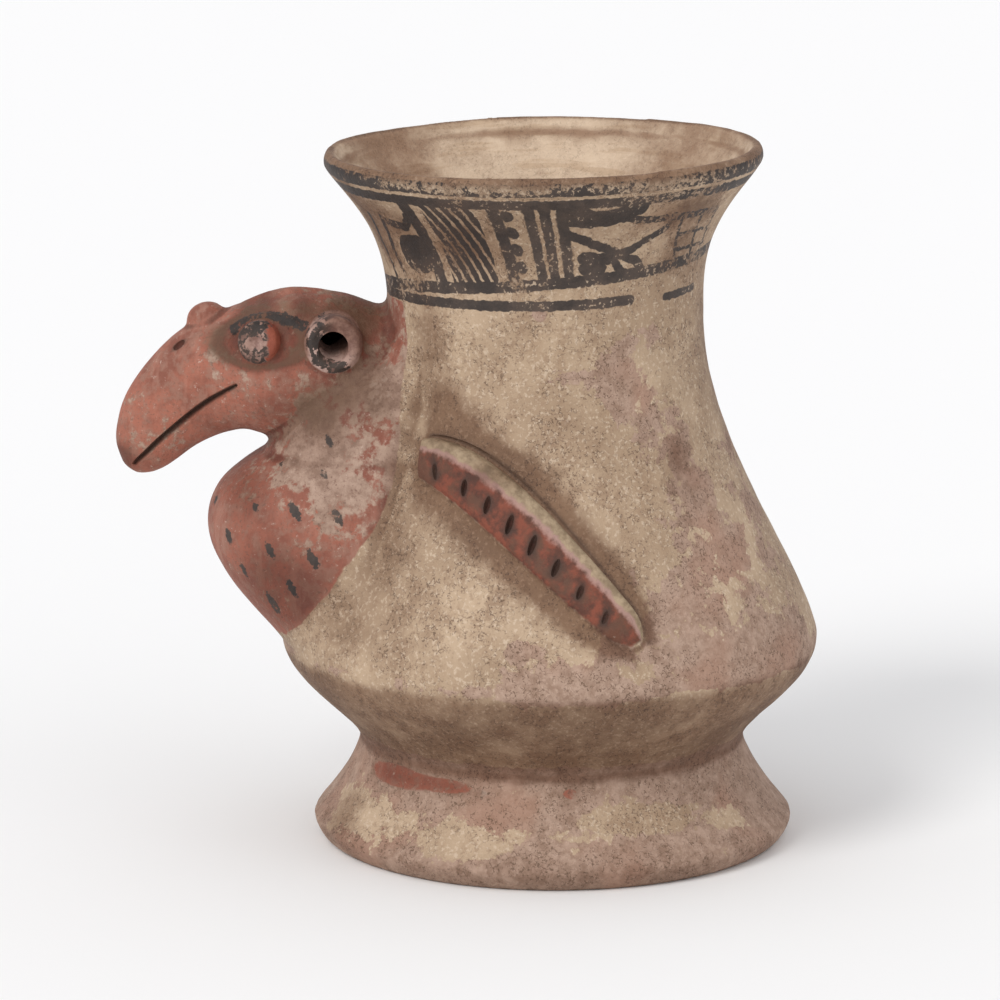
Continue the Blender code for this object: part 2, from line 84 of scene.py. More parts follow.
bpy.ops.object.camera_add(location=CAMERA_PLACE, rotation=(0.5 * math.pi - CAMERA_DIP, 0.0, 0.5 * math.pi))
camera = bpy.context.object
camera.name = "camera"
camera.data.lens = CAMERA_LENS
camera.data.sensor_width = 36.0
bpy.context.scene.camera = camera
bpy.context.scene.view_settings.view_transform = 'Standard'

# The jar's wall
# Coiled and scraped buff clay on a flared ring foot: a low wide body, a tall neck that flares to a
# thick lip, and a breast pressed out from within on the bird's side. It leans a little to the bird.
HEIGHT = 0.260
LIP_HEIGHT = 0.0078
LIP_RADIUS = 0.0810
LIP_STEP = 0.0012
NECK_RADIUS = 0.0588
NECK_HEIGHT = 0.196
BODY_RADIUS = 0.1005
BODY_HEIGHT = 0.0765
WAIST_RADIUS = 0.0722
WAIST_HEIGHT = 0.038
FOOT_RADIUS = 0.0903
FOOT_EDGE_HEIGHT = 0.008
FOOT_RING_WIDTH = 0.0065
WALL = 0.0065
FLOOR_THICKNESS = 0.009
FLOOR_DISH = 0.0010
LEAN = 0.0040
RIM_TILT = math.radians(1.03)
BREAST_RISE = 0.048
BREAST_HEIGHT = 0.131
BREAST_SPREAD = math.radians(40.0)
THROAT_RISE = 0.036
HEAD_LENGTH = 0.1073
CROWN_HEIGHT = NECK_HEIGHT + 0.0124
JAR_COLUMNS = 256
ROW_STEP = 0.0015


def smooth_step(low, high, value):
    """Ease from 0 at low to 1 at high."""
    share = min(1.0, max(0.0, (value - low) / (high - low)))
    return share * share * (3.0 - 2.0 * share)


def profile_radius(height):
    """Outside radius of the jar, without the breast, at a height above the table."""
    lip_bottom = HEIGHT - LIP_HEIGHT
    if height <= FOOT_EDGE_HEIGHT:
        share = 1.0 - height / FOOT_EDGE_HEIGHT
        return FOOT_RADIUS - 0.6 * FOOT_EDGE_HEIGHT * share ** 2
    if height <= WAIST_HEIGHT:
        share = (WAIST_HEIGHT - height) / (WAIST_HEIGHT - FOOT_EDGE_HEIGHT)
        return WAIST_RADIUS + (FOOT_RADIUS - WAIST_RADIUS) * share ** 1.45
    if height <= BODY_HEIGHT:
        share = (height - WAIST_HEIGHT) / (BODY_HEIGHT - WAIST_HEIGHT)
        return WAIST_RADIUS + (BODY_RADIUS - WAIST_RADIUS) * math.sin(0.5 * math.pi * share) ** 1.5
    if height <= NECK_HEIGHT:
        share = (height - BODY_HEIGHT) / (NECK_HEIGHT - BODY_HEIGHT)
        return NECK_RADIUS + (BODY_RADIUS - NECK_RADIUS) * (1.0 - share ** 1.36) ** 2
    share = min(1.0, (height - NECK_HEIGHT) / (lip_bottom - NECK_HEIGHT))
    flare = 1.0 - (1.0 - share ** 2.9) ** 1.2
    return NECK_RADIUS + (LIP_RADIUS - LIP_STEP - NECK_RADIUS) * flare


ROOT_REACH = profile_radius(CROWN_HEIGHT) - WALL + LEAN * CROWN_HEIGHT / HEIGHT
BACK_REACH = BODY_RADIUS - LEAN * BODY_HEIGHT / HEIGHT
FOOT_PLACE = 0.5 * (ROOT_REACH + HEAD_LENGTH - BACK_REACH)
HEAD_ROOT = FOOT_PLACE - ROOT_REACH


def breast_rise(height):
    """How far the breast and the throat stand out from the turned wall, in the middle plane."""
    if height <= BODY_HEIGHT:
        return 0.0
    if height <= BREAST_HEIGHT:
        share = (height - BODY_HEIGHT) / (BREAST_HEIGHT - BODY_HEIGHT)
        return BREAST_RISE * math.sin(0.5 * math.pi * share) ** 1.15
    fall = (height - BREAST_HEIGHT) / (0.55 * (NECK_HEIGHT - BREAST_HEIGHT))
    breast = BREAST_RISE * math.cos(0.5 * math.pi * min(1.0, fall))
    throat_middle = 0.5 * (BREAST_HEIGHT + NECK_HEIGHT)
    throat = THROAT_RISE * (1.0 - smooth_step(throat_middle, NECK_HEIGHT, height))
    return max(breast, throat * smooth_step(BODY_HEIGHT, BREAST_HEIGHT, height))


def jar_axis(height):
    """Place of the jar's axis along Y at a height."""
    return FOOT_PLACE - LEAN * height / HEIGHT


def jar_point(angle, height, hollow=False):
    """A point on the outside of the jar; hollow leaves out the throat behind the head."""
    from_front = abs(math.atan2(math.sin(angle + 0.5 * math.pi), math.cos(angle + 0.5 * math.pi)))
    turn = min(1.0, from_front / BREAST_SPREAD)
    rise = breast_rise(height) * (1.0 - turn ** 2.5) ** 1.6
    if hollow:
        rise *= 1.0 - smooth_step(BREAST_HEIGHT, BREAST_HEIGHT + 3.0 * WALL, height)
    radius = profile_radius(height) + rise
    across = radius * math.sin(angle)
    tilt = math.tan(RIM_TILT) * smooth_step(BODY_HEIGHT, HEIGHT, height)
    return Vector((radius * math.cos(angle), jar_axis(height) + across, height + tilt * across))


def jar_normal(angle, height, hollow=False):
    """Outward direction of the jar's surface."""
    step = 0.0005
    turn = step / NECK_RADIUS
    along = jar_point(angle + turn, height, hollow) - jar_point(angle - turn, height, hollow)
    up = jar_point(angle, height + step, hollow) - jar_point(angle, height - step, hollow)
    return along.cross(up).normalized()


def level_point(angle, radius, height, tilt=0.0):
    """A point on a ring about the jar's axis, level or dipped toward the bird."""
    across = radius * math.sin(angle)
    return Vector((radius * math.cos(angle), jar_axis(height) + across, height + tilt * across))


def blend_points(points, place):
    """Smooth curve through evenly numbered points, read at a place from 0 to the last number."""
    last = len(points) - 1
    index = min(last - 1, max(0, int(place)))
    t = place - index
    p0 = points[max(0, index - 1)]
    p1 = points[index]
    p2 = points[index + 1]
    p3 = points[min(last, index + 2)]
    result = []
    for a, b, c, d in zip(p0, p1, p2, p3):
        result.append(b + 0.5 * t * (c - a + t * (2 * a - 5 * b + 4 * c - d + t * (3 * (b - c) + d - a))))
    return result


def drawn_skin(name, columns, rows, place):
    """A sheet of clay drawn round and closed; place gives a point for each share round and along."""
    bpy.ops.object.select_all(action='DESELECT')
    bpy.ops.mesh.primitive_grid_add(x_subdivisions=columns, y_subdivisions=rows, size=1.0)
    skin = bpy.context.object
    skin.name = name
    for vertex in skin.data.vertices:
        vertex.co = place(vertex.co.x + 0.5, vertex.co.y + 0.5)
    bpy.ops.object.mode_set(mode='EDIT')
    bpy.ops.mesh.select_all(action='SELECT')
    bpy.ops.mesh.remove_doubles(threshold=0.00002)
    bpy.ops.mesh.normals_make_consistent(inside=False)
    bpy.ops.object.mode_set(mode='OBJECT')
    return skin


def steps_between(low, high, step=ROW_STEP):
    """Evenly spaced values after low, up to and with high."""
    count = max(1, round(abs(high - low) / step))
    return [low + (high - low) * (i + 1) / count for i in range(count)]


foot_inner = profile_radius(0.0) - FOOT_RING_WIDTH
lip_bottom = HEIGHT - LIP_HEIGHT
lip_tilt = math.tan(RIM_TILT)
floor_top = WAIST_HEIGHT + FLOOR_THICKNESS
floor_radius = WAIST_RADIUS - 2.0 * WALL
jar_rows = [("level", 0.0, WAIST_HEIGHT)]
for share in steps_between(0.0, 1.0, 0.025):
    jar_rows.append(("level", foot_inner * share, WAIST_HEIGHT * (1.0 - share ** 6) ** 0.625))
for share in steps_between(0.0, 0.9, 0.2):
    jar_rows.append(("level", foot_inner + FOOT_RING_WIDTH * share, 0.0))
for height in steps_between(0.0, lip_bottom):
    jar_rows.append(("outside", height))
LIP_CURVE = [
    (LIP_RADIUS - LIP_STEP, lip_bottom),
    (LIP_RADIUS, HEIGHT - 0.74 * LIP_HEIGHT),
    (LIP_RADIUS + 0.0001, HEIGHT - 0.38 * LIP_HEIGHT),
    (LIP_RADIUS - 0.12 * LIP_HEIGHT, HEIGHT - 0.10 * LIP_HEIGHT),
    (LIP_RADIUS - 0.42 * WALL, HEIGHT),
    (LIP_RADIUS - 0.80 * WALL, HEIGHT - 0.18 * LIP_HEIGHT),
]
for place in steps_between(0.0, len(LIP_CURVE) - 1.0, 0.25):
    jar_rows.append(("lip",) + tuple(blend_points(LIP_CURVE, place)))
for height in steps_between(lip_bottom, WAIST_HEIGHT + 0.10 * (BODY_HEIGHT - WAIST_HEIGHT)):
    jar_rows.append(("inside", height))
for share in steps_between(1.0, 0.0, 0.04):
    jar_rows.append(("level", floor_radius * share, floor_top - FLOOR_DISH * (1.0 - share)))


def jar_place(round_share, along_share):
    """A point of the jar's closed section at an angle round it."""
    angle = 2.0 * math.pi * round_share - 0.5 * math.pi
    row = jar_rows[round(along_share * (len(jar_rows) - 1))]
    if row[0] == "outside":
        return jar_point(angle, row[1])
    if row[0] == "inside":
        point = jar_point(angle, row[1], True) - WALL * jar_normal(angle, row[1], True)
        point.z = max(point.z, floor_top + FLOOR_DISH)
        return point
    if row[0] == "lip":
        return level_point(angle, row[1], row[2], lip_tilt)
    return level_point(angle, row[1], row[2])


wall_skin = drawn_skin("wall_skin", JAR_COLUMNS, len(jar_rows) - 1, jar_place)

# The head and beak
# A solid lump of clay drawn out into a hooked beak and luted to the neck, hollowed from ear to ear.
# Crest, brows, knob, eyes and ears are rolls and pellets of clay pressed on while it was soft.
HEAD_HEIGHT = 0.072
HEAD_WIDTH = 0.058
HEAD_WALL = 0.0075
KNOB_RADIUS = 0.0078
EYE_RADIUS = 0.0083
EYE_RISE = 0.0048
EAR_RADIUS = 0.0108
EAR_HOLE_RADIUS = 0.0056
EAR_RISE = 0.0050
BROW_RADIUS = 0.0030
CREST_RADIUS = 0.0065
SOCKET_DEPTH = 0.0028
CROWN_LINE = (
    (0.000, 0.860), (0.093, 0.900), (0.206, 0.955), (0.352, 0.972), (0.458, 0.945),
    (0.551, 0.905), (0.645, 0.852), (0.748, 0.782), (0.832, 0.678), (0.907, 0.552),
    (0.963, 0.425), (0.994, 0.286), (1.000, 0.175), (0.978, 0.068),
)
JAW_LINE = (
    (0.000, 0.190), (0.075, 0.165), (0.224, 0.150), (0.383, 0.180), (0.486, 0.215),
    (0.542, 0.236), (0.589, 0.225), (0.636, 0.205), (0.687, 0.172), (0.734, 0.130),
    (0.776, 0.082), (0.818, 0.040), (0.864, 0.010), (0.910, 0.002),
)
HEAD_WIDTHS = (0.78, 0.88, 0.95, 1.00, 0.95, 0.85, 0.74, 0.65, 0.57, 0.51, 0.45, 0.39, 0.32, 0.22)
BEAK_END = (0.950, 0.026)
EYE_PLACE = 4.25
EYE_ANGLE = math.radians(60.5)
EAR_PLACE = 2.15
EAR_ANGLE = math.radians(61.5)
KNOB_PLACE = 6.35
BROW_BEAK_PLACE = 6.0
BROW_EAR_PLACE = 2.6
BROW_ANGLE = math.radians(33.0)
BROW_DIP = math.radians(16.0)
CREST_BACK_PLACE = 1.2
CREST_BEAK_PLACE = 5.8
ROOT_PLACE = 0.7


def head_place(forward, rise):
    """Point in the head's middle plane from its shares of length and height."""
    return Vector((0.0, HEAD_ROOT - HEAD_LENGTH * forward, CROWN_HEIGHT - HEAD_HEIGHT * (1.0 - rise)))


def head_point(place, angle):
    """Point on the head: place counts the outline's points, angle runs from the crown down one side."""
    top = head_place(*blend_points(CROWN_LINE, place))
    bottom = head_place(*blend_points(JAW_LINE, place))
    width = 0.5 * HEAD_WIDTH * blend_points([(w,) for w in HEAD_WIDTHS], place)[0]
    middle = 0.5 * (top + bottom)
    point = middle + 0.5 * (top - bottom) * math.cos(angle)
    point.x = width * math.copysign(abs(math.sin(angle)) ** 0.92, math.sin(angle))
    return point


def head_frame(place, angle):
    """Point, outward direction and direction toward the beak's tip on the head's surface."""
    point = head_point(place, angle)
    forward = (head_point(place + 0.05, angle) - head_point(place - 0.05, angle)).normalized()
    around = head_point(place, angle + 0.03) - head_point(place, angle - 0.03)
    outward = around.cross(forward).normalized()
    if outward.x * math.sin(angle) < 0.0:
        outward.negate()
    return point, outward, forward


def eye_frame(side):
    """Centre and direction of an eye."""
    point, outward, forward = head_frame(EYE_PLACE, side * EYE_ANGLE)
    return point, (outward + Vector((side * 0.9, 0.0, -0.12))).normalized()


def ear_frame(side):
    """Centre and direction of an ear, which faces square to the side."""
    point, outward, forward = head_frame(EAR_PLACE, side * EAR_ANGLE)
    return point, Vector((side, 0.05, 0.0)).normalized()


def in_wall(point):
    """The same point moved along Y into the middle of the jar's wall."""
    radius = profile_radius(point.z) - 0.5 * WALL
    depth = math.sqrt(max(0.0, radius ** 2 - point.x ** 2))
    return Vector((point.x, jar_axis(point.z) - depth, point.z))


def socket_dent(point):
    """How deep the almond round the nearer eye is pressed in at a point of the head."""
    eye, outward = eye_frame(math.copysign(1.0, point.x))
    ahead = Vector((0.0, -1.0, 0.06))
    ahead = (ahead - outward * ahead.dot(outward)).normalized()
    up = ahead.cross(outward)
    away = point - eye
    reach = math.hypot(away.dot(ahead) / (2.05 * EYE_RADIUS), away.dot(up) / (1.15 * EYE_RADIUS))
    return outward, SOCKET_DEPTH * smooth_step(0.0, 0.45, 1.0 - reach)


def head_skin_place(round_share, along_share):
    """A point of the closed head, whose root sits in the jar's wall."""
    rows = 130
    row = round(along_share * rows)
    turn = 2.0 * math.pi * round_share
    if row == 0:
        return in_wall(0.5 * (head_point(0.0, 0.0) + head_point(0.0, math.pi)))
    if row == rows:
        return head_place(*BEAK_END)
    place = (len(CROWN_LINE) - 1) * (row - 1) / (rows - 2)
    point = head_point(place, turn)
    if place < ROOT_PLACE:
        return point.lerp(in_wall(point), 1.0 - place / ROOT_PLACE)
    outward, dent = socket_dent(point)
    return point - outward * dent


head_skin = drawn_skin("head_skin", 110, 130, head_skin_place)


def rolled_clay(name, path, radii):
    """A roll of clay with rounded ends along a path."""
    last = len(path) - 1

    def place(round_share, along_share):
        step = along_share * last
        index = min(last - 1, int(step))
        centre = path[index].lerp(path[index + 1], step - index)
        radius = radii[index] + (radii[index + 1] - radii[index]) * (step - index)
        ahead = (path[min(last, index + 2)] - path[max(0, index - 1)]).normalized()
        side = ahead.cross(Vector((0.0, 0.3, 1.0))).normalized()
        turn = 2.0 * math.pi * round_share
        if along_share < 0.001 or along_share > 0.999:
            return centre
        return centre + radius * (side * math.cos(turn) + side.cross(ahead) * math.sin(turn))

    return drawn_skin(name, 20, 4 * last, place)


def crest_path():
    """The crest's centre line and radii over the crown."""
    path = []
    radii = []
    for share in [0.0] + steps_between(0.0, 1.0, 1.0 / 16.0):
        swell = math.sin(math.pi * (0.04 + 0.92 * share)) ** 0.6
        point = head_point(CREST_BACK_PLACE + (CREST_BEAK_PLACE - CREST_BACK_PLACE) * share, 0.0)
        point.z -= CREST_RADIUS * (1.0 - 0.23 * swell)
        path.append(point)
        radii.append(CREST_RADIUS * (0.35 + 0.65 * swell))
    return path, radii


def brow_path(side):
    """A brow's centre line and radii, from the beak's root over the eye to the ear."""
    path = []
    radii = []
    for share in [0.0] + steps_between(0.0, 1.0, 1.0 / 16.0):
        swell = math.sin(math.pi * (0.045 + 0.91 * share)) ** 0.5
        dip = (2.0 * share - 1.0) ** 2 + 0.25 * share
        place = BROW_BEAK_PLACE + (BROW_EAR_PLACE - BROW_BEAK_PLACE) * share
        point, outward, forward = head_frame(place, side * (BROW_ANGLE + BROW_DIP * dip))
        path.append(point - outward * BROW_RADIUS * (0.9 - 0.3 * swell))
        radii.append(BROW_RADIUS * (0.3 + 0.7 * swell))
    return path, radii


def turned_clay(name, point, outward, curve):
    """A pellet turned about a direction, from (radius, rise) pairs whose ends lie on the axis."""
    side = outward.cross(Vector((0.0, 0.0, 1.0))).normalized()
    up = side.cross(outward)
    last = len(curve) - 1

    def place(round_share, along_share):
        radius, rise = blend_points(curve, along_share * last)
        turn = 2.0 * math.pi * round_share
        return point + outward * rise + max(0.0, radius) * (side * math.cos(turn) + up * math.sin(turn))

    return drawn_skin(name, 48, 6 * last, place)


bird_skins = [wall_skin, head_skin, rolled_clay("crest_roll", *crest_path())]
knob_point = head_point(KNOB_PLACE, 0.0)
knob_ahead = (head_point(KNOB_PLACE + 0.25, 0.0) - head_point(KNOB_PLACE - 0.25, 0.0)).normalized()
knob_up = Vector((1.0, 0.0, 0.0)).cross(knob_ahead).normalized()
if knob_up.z < 0.0:
    knob_up.negate()
bpy.ops.object.select_all(action='DESELECT')
bpy.ops.mesh.primitive_uv_sphere_add(segments=48, ring_count=32, radius=KNOB_RADIUS)
knob = bpy.context.object
knob.name = "knob_pellet"
knob_axes = Matrix((Vector((0.95, 0.0, 0.0)), 1.02 * knob_ahead, 0.86 * knob_up)).transposed()
knob.matrix_world = Matrix.Translation(knob_point - 0.13 * KNOB_RADIUS * knob_up) @ knob_axes.to_4x4()
bird_skins.append(knob)

EYE_CURVE = [(0.0, -1.7), (0.85, -1.7), (1.0, -0.4), (1.0, 0.30), (0.90, 0.76), (0.55, 0.97), (0.0, 1.0)]
EAR_CURVE = [
    (0.0, -EAR_RADIUS), (EAR_RADIUS * 0.8, -EAR_RADIUS), (EAR_RADIUS, -0.3 * EAR_RADIUS),
    (EAR_RADIUS, 0.40 * EAR_RISE), (0.93 * EAR_RADIUS, 0.82 * EAR_RISE),
    (0.5 * (EAR_RADIUS + EAR_HOLE_RADIUS), EAR_RISE),
    (0.98 * EAR_HOLE_RADIUS, 0.72 * EAR_RISE), (0.0, 0.70 * EAR_RISE),
]
for side, hand in ((1.0, "left"), (-1.0, "right")):
    bird_skins.append(rolled_clay("brow_roll_" + hand, *brow_path(side)))
    point, outward = eye_frame(side)
    eye_curve = [(EYE_RADIUS * radius, EYE_RISE * rise) for radius, rise in EYE_CURVE]
    bird_skins.append(turned_clay("eye_pellet_" + hand, point, outward, eye_curve))
    point, outward = ear_frame(side)
    bird_skins.append(turned_clay("ear_ring_" + hand, point, outward, EAR_CURVE))

# The wings
# Each wing is a flattened strip of clay pressed slantwise on the shoulder, with a rounded ledge on
# top, a sloping face below, and a row of short cuts made with a stick across the face.
WING_WIDTH = 0.0215
WING_RISE = 0.0068
WING_TOP_HEIGHT = 0.1530
WING_FOOT_HEIGHT = 0.0920
WING_FRONT_ANGLE = math.radians(-43.5)
WING_BACK_ANGLE = math.radians(19.5)
WING_DROOP = 2.0
WING_SECTION = (
    (0.86, -0.44), (0.96, 0.30), (0.93, 0.74), (0.80, 1.00), (0.62, 1.03), (0.46, 0.92),
    (0.10, 0.84), (-0.45, 0.66), (-0.84, 0.44), (-0.98, 0.16), (-1.02, -0.44),
)


def wing_frame(share, side):
    """Point, outward direction, direction along a wing and direction over it, on the jar's surface."""
    def at(value):
        angle = WING_FRONT_ANGLE + (WING_BACK_ANGLE - WING_FRONT_ANGLE) * value
        height = WING_TOP_HEIGHT + (WING_FOOT_HEIGHT - WING_TOP_HEIGHT) * value ** WING_DROOP
        return angle, height
    point = jar_point(*at(share))
    outward = jar_normal(*at(share))
    ahead = jar_point(*at(min(1.0, share + 0.02))) - jar_point(*at(max(0.0, share - 0.02)))
    ahead.normalize()
    if side < 0.0:
        for vector in (point, outward, ahead):
            vector.x = -vector.x
    up = side * outward.cross(ahead)
    if up.z < 0.0:
        up.negate()
    return point, outward, ahead, up.normalized()


def wing_swell(share):
    """Width and rise of a wing along its length, as a share of the most."""
    ends = min(1.0, share / 0.035, (1.0 - share) / 0.07)
    return math.sin(math.pi * (0.12 + 0.80 * share)) ** 0.35 * math.sqrt(1.0 - (1.0 - ends) ** 2)


for side, hand in ((1.0, "left"), (-1.0, "right")):
    wing_steps = 60
    wing_frames = [wing_frame(i / wing_steps, side) for i in range(wing_steps + 1)]

    def wing_place(round_share, along_share):
        index = round(along_share * wing_steps)
        point, outward, ahead, up = wing_frames[index]
        if index in (0, wing_steps):
            return point
        swell = wing_swell(along_share)
        closed = WING_SECTION + WING_SECTION[:1]
        over, lift = blend_points(closed, round_share * (len(closed) - 1))
        return point + 0.5 * WING_WIDTH * swell * over * up + WING_RISE * swell * lift * outward

    bird_skins.append(drawn_skin("wing_strip_" + hand, 36, wing_steps, wing_place))

# The joined clay
# The parts are luted together: all skins become one closed body, every joint is wiped to a small
# fillet, and the surface keeps the slight swells and dents of hand work.
CLAY_GRAIN = 0.0011
WIPE_ROUNDS = 2
FILLET_ROUNDS = 22
SWELL_DEPTH = 0.0008
DENT_DEPTH = 0.00032


def only(piece):
    """Selects one piece and makes it the active one."""
    bpy.ops.object.select_all(action='DESELECT')
    piece.select_set(True)
    bpy.context.view_layer.objects.active = piece


def coordinates(piece):
    """The piece's points and outward directions as arrays."""
    points = np.zeros(3 * len(piece.data.vertices), np.float32)
    piece.data.vertices.foreach_get("co", points)
    outward = np.zeros_like(points)
    piece.data.vertices.foreach_get("normal", outward)
    return points.reshape(-1, 3).astype(float), outward.reshape(-1, 3).astype(float)


def neighbour_mean(piece):
    """A function that averages a value over each point's neighbours."""
    ends = np.zeros(2 * len(piece.data.edges), np.int32)
    piece.data.edges.foreach_get("vertices", ends)
    first, second = ends.reshape(-1, 2).T
    here = np.concatenate((first, second))
    there = np.concatenate((second, first))
    count = len(piece.data.vertices)
    degree = np.maximum(1, np.bincount(here, minlength=count))

    def mean(values):
        if values.ndim == 1:
            return np.bincount(here, values[there], count) / degree
        columns = [np.bincount(here, values[there, k], count) / degree for k in range(values.shape[1])]
        return np.stack(columns, axis=1)
    return mean


def wiped(points, mean, rounds, weight=0.5):
    """Points moved toward the middle of their neighbours."""
    for _ in range(rounds):
        points = points + weight * (mean(points) - points)
    return points


bpy.ops.object.select_all(action='DESELECT')
for skin in bird_skins:
    skin.select_set(True)
bpy.context.view_layer.objects.active = wall_skin
bpy.ops.object.join()
jar = bpy.context.object
jar.name = "painted_jar"
jar.data.name = "painted_jar"
bpy.ops.object.modifier_add(type='REMESH')
jar.modifiers[0].mode = 'VOXEL'
jar.modifiers[0].voxel_size = CLAY_GRAIN
bpy.ops.object.modifier_apply(modifier=jar.modifiers[0].name)

points, outward = coordinates(jar)
mean = neighbour_mean(jar)
points = wiped(points, mean, WIPE_ROUNDS)
soft = wiped(points, mean, 10)
hollow = np.einsum("ij,ij->i", soft - points, outward) / CLAY_GRAIN
near_root = np.exp(-((points[:, 1] - (HEAD_ROOT - 0.002)) / 0.011) ** 2)
near_root *= (np.abs(points[:, 0]) < 0.045) & (points[:, 2] > 0.150) & (points[:, 2] < 0.220)
joint = np.clip(hollow * 3.0, 0.0, 1.0) * 0.06 + near_root
joint = np.clip(wiped(joint, mean, 4), 0.0, 1.0)
for _ in range(FILLET_ROUNDS):
    points = points + 0.5 * joint[:, None] * (mean(points) - points)
SWELLS_PER_METRE = 24.0
DENTS_PER_METRE = 110.0
hand_marks = np.array([
    SWELL_DEPTH * (noise.noise(Vector(p) * SWELLS_PER_METRE) - 1.0)
    + DENT_DEPTH * (noise.noise(Vector(p) * DENTS_PER_METRE) - 1.0)
    for p in points
])
standing = np.clip(points[:, 2] / 0.004, 0.0, 1.0)
points = points + outward * (0.5 * hand_marks * standing)[:, None]
jar.data.vertices.foreach_set("co", points.astype(np.float32).ravel())
jar.data.update()

# Holes and cuts
# The ears are pierced through the hollow head. The mouth, the nostrils, the cuts across the wings,
# the line under the lip and the groove over each wing were made with a pointed stick.
MOUTH_WIDTH = 0.0037
MOUTH_DEPTH = 0.0038
MOUTH_BACK_PLACE = 5.15
MOUTH_TIP_PLACE = 12.45
MOUTH_ANGLE = math.radians(96.0)
MOUTH_BOW = math.radians(15.0)
NOSTRIL_PLACE = 7.35
NOSTRIL_ANGLE = math.radians(32.0)
NOSTRIL_LENGTH = 0.0056
NOTCH_COUNT = 8
NOTCH_LENGTH = 0.0080
NOTCH_WIDTH = 0.0027
NOTCH_DEPTH = 0.0034
HOLLOW_PLACE = 3.3
EAR_HOLE_DEPTH = 0.034
EAR_HOLE_CLIMB = math.radians(16.0)
LINE_RADIUS = 0.0007


def pellet(name, centre, half_length, half_width, half_depth):
    """An egg-shaped tool mark from its centre and its three half axes."""
    bpy.ops.object.select_all(action='DESELECT')
    bpy.ops.mesh.primitive_uv_sphere_add(segments=16, ring_count=10, radius=1.0)
    mark = bpy.context.object
    mark.name = name
    axes = Matrix((half_length, half_width, half_depth)).transposed()
    if axes.determinant() < 0.0:
        axes = Matrix((half_length, -half_width, half_depth)).transposed()
    mark.data.transform(Matrix.Translation(centre) @ axes.to_4x4())
    return mark


def cut_out(tools):
    """Cuts a group of tools that don't touch each other out of the jar."""
    bpy.ops.object.select_all(action='DESELECT')
    for tool in tools:
        tool.select_set(True)
    bpy.context.view_layer.objects.active = tools[0]
    if len(tools) > 1:
        bpy.ops.object.join()
    tool = bpy.context.object
    only(jar)
    bpy.ops.object.modifier_add(type='BOOLEAN')
    cut = jar.modifiers[0]
    cut.operation = 'DIFFERENCE'
    cut.solver = 'MANIFOLD'
    cut.object = tool
    bpy.ops.object.modifier_apply(modifier=cut.name)
    bpy.data.objects.remove(tool, do_unlink=True)


half_height = 0.40 * HEAD_HEIGHT - HEAD_WALL
hollow_middle = 0.5 * (head_point(HOLLOW_PLACE, 0.0) + head_point(HOLLOW_PLACE, math.pi))
head_hollow = pellet(
    "head_hollow",
    hollow_middle + Vector((0.0, 0.0, 0.03 * HEAD_HEIGHT)),
    Vector((0.5 * HEAD_WIDTH - HEAD_WALL, 0.0, 0.0)),
    Vector((0.0, 0.235 * HEAD_LENGTH, 0.0)),
    Vector((0.0, 0.0, half_height)),
)
only(head_hollow)
bpy.ops.object.mode_set(mode='EDIT')
bpy.ops.mesh.select_all(action='SELECT')
bpy.ops.mesh.subdivide(number_cuts=2, smoothness=1.0)
bpy.ops.object.mode_set(mode='OBJECT')
cut_out([head_hollow])

tools = []
cut_lines = []

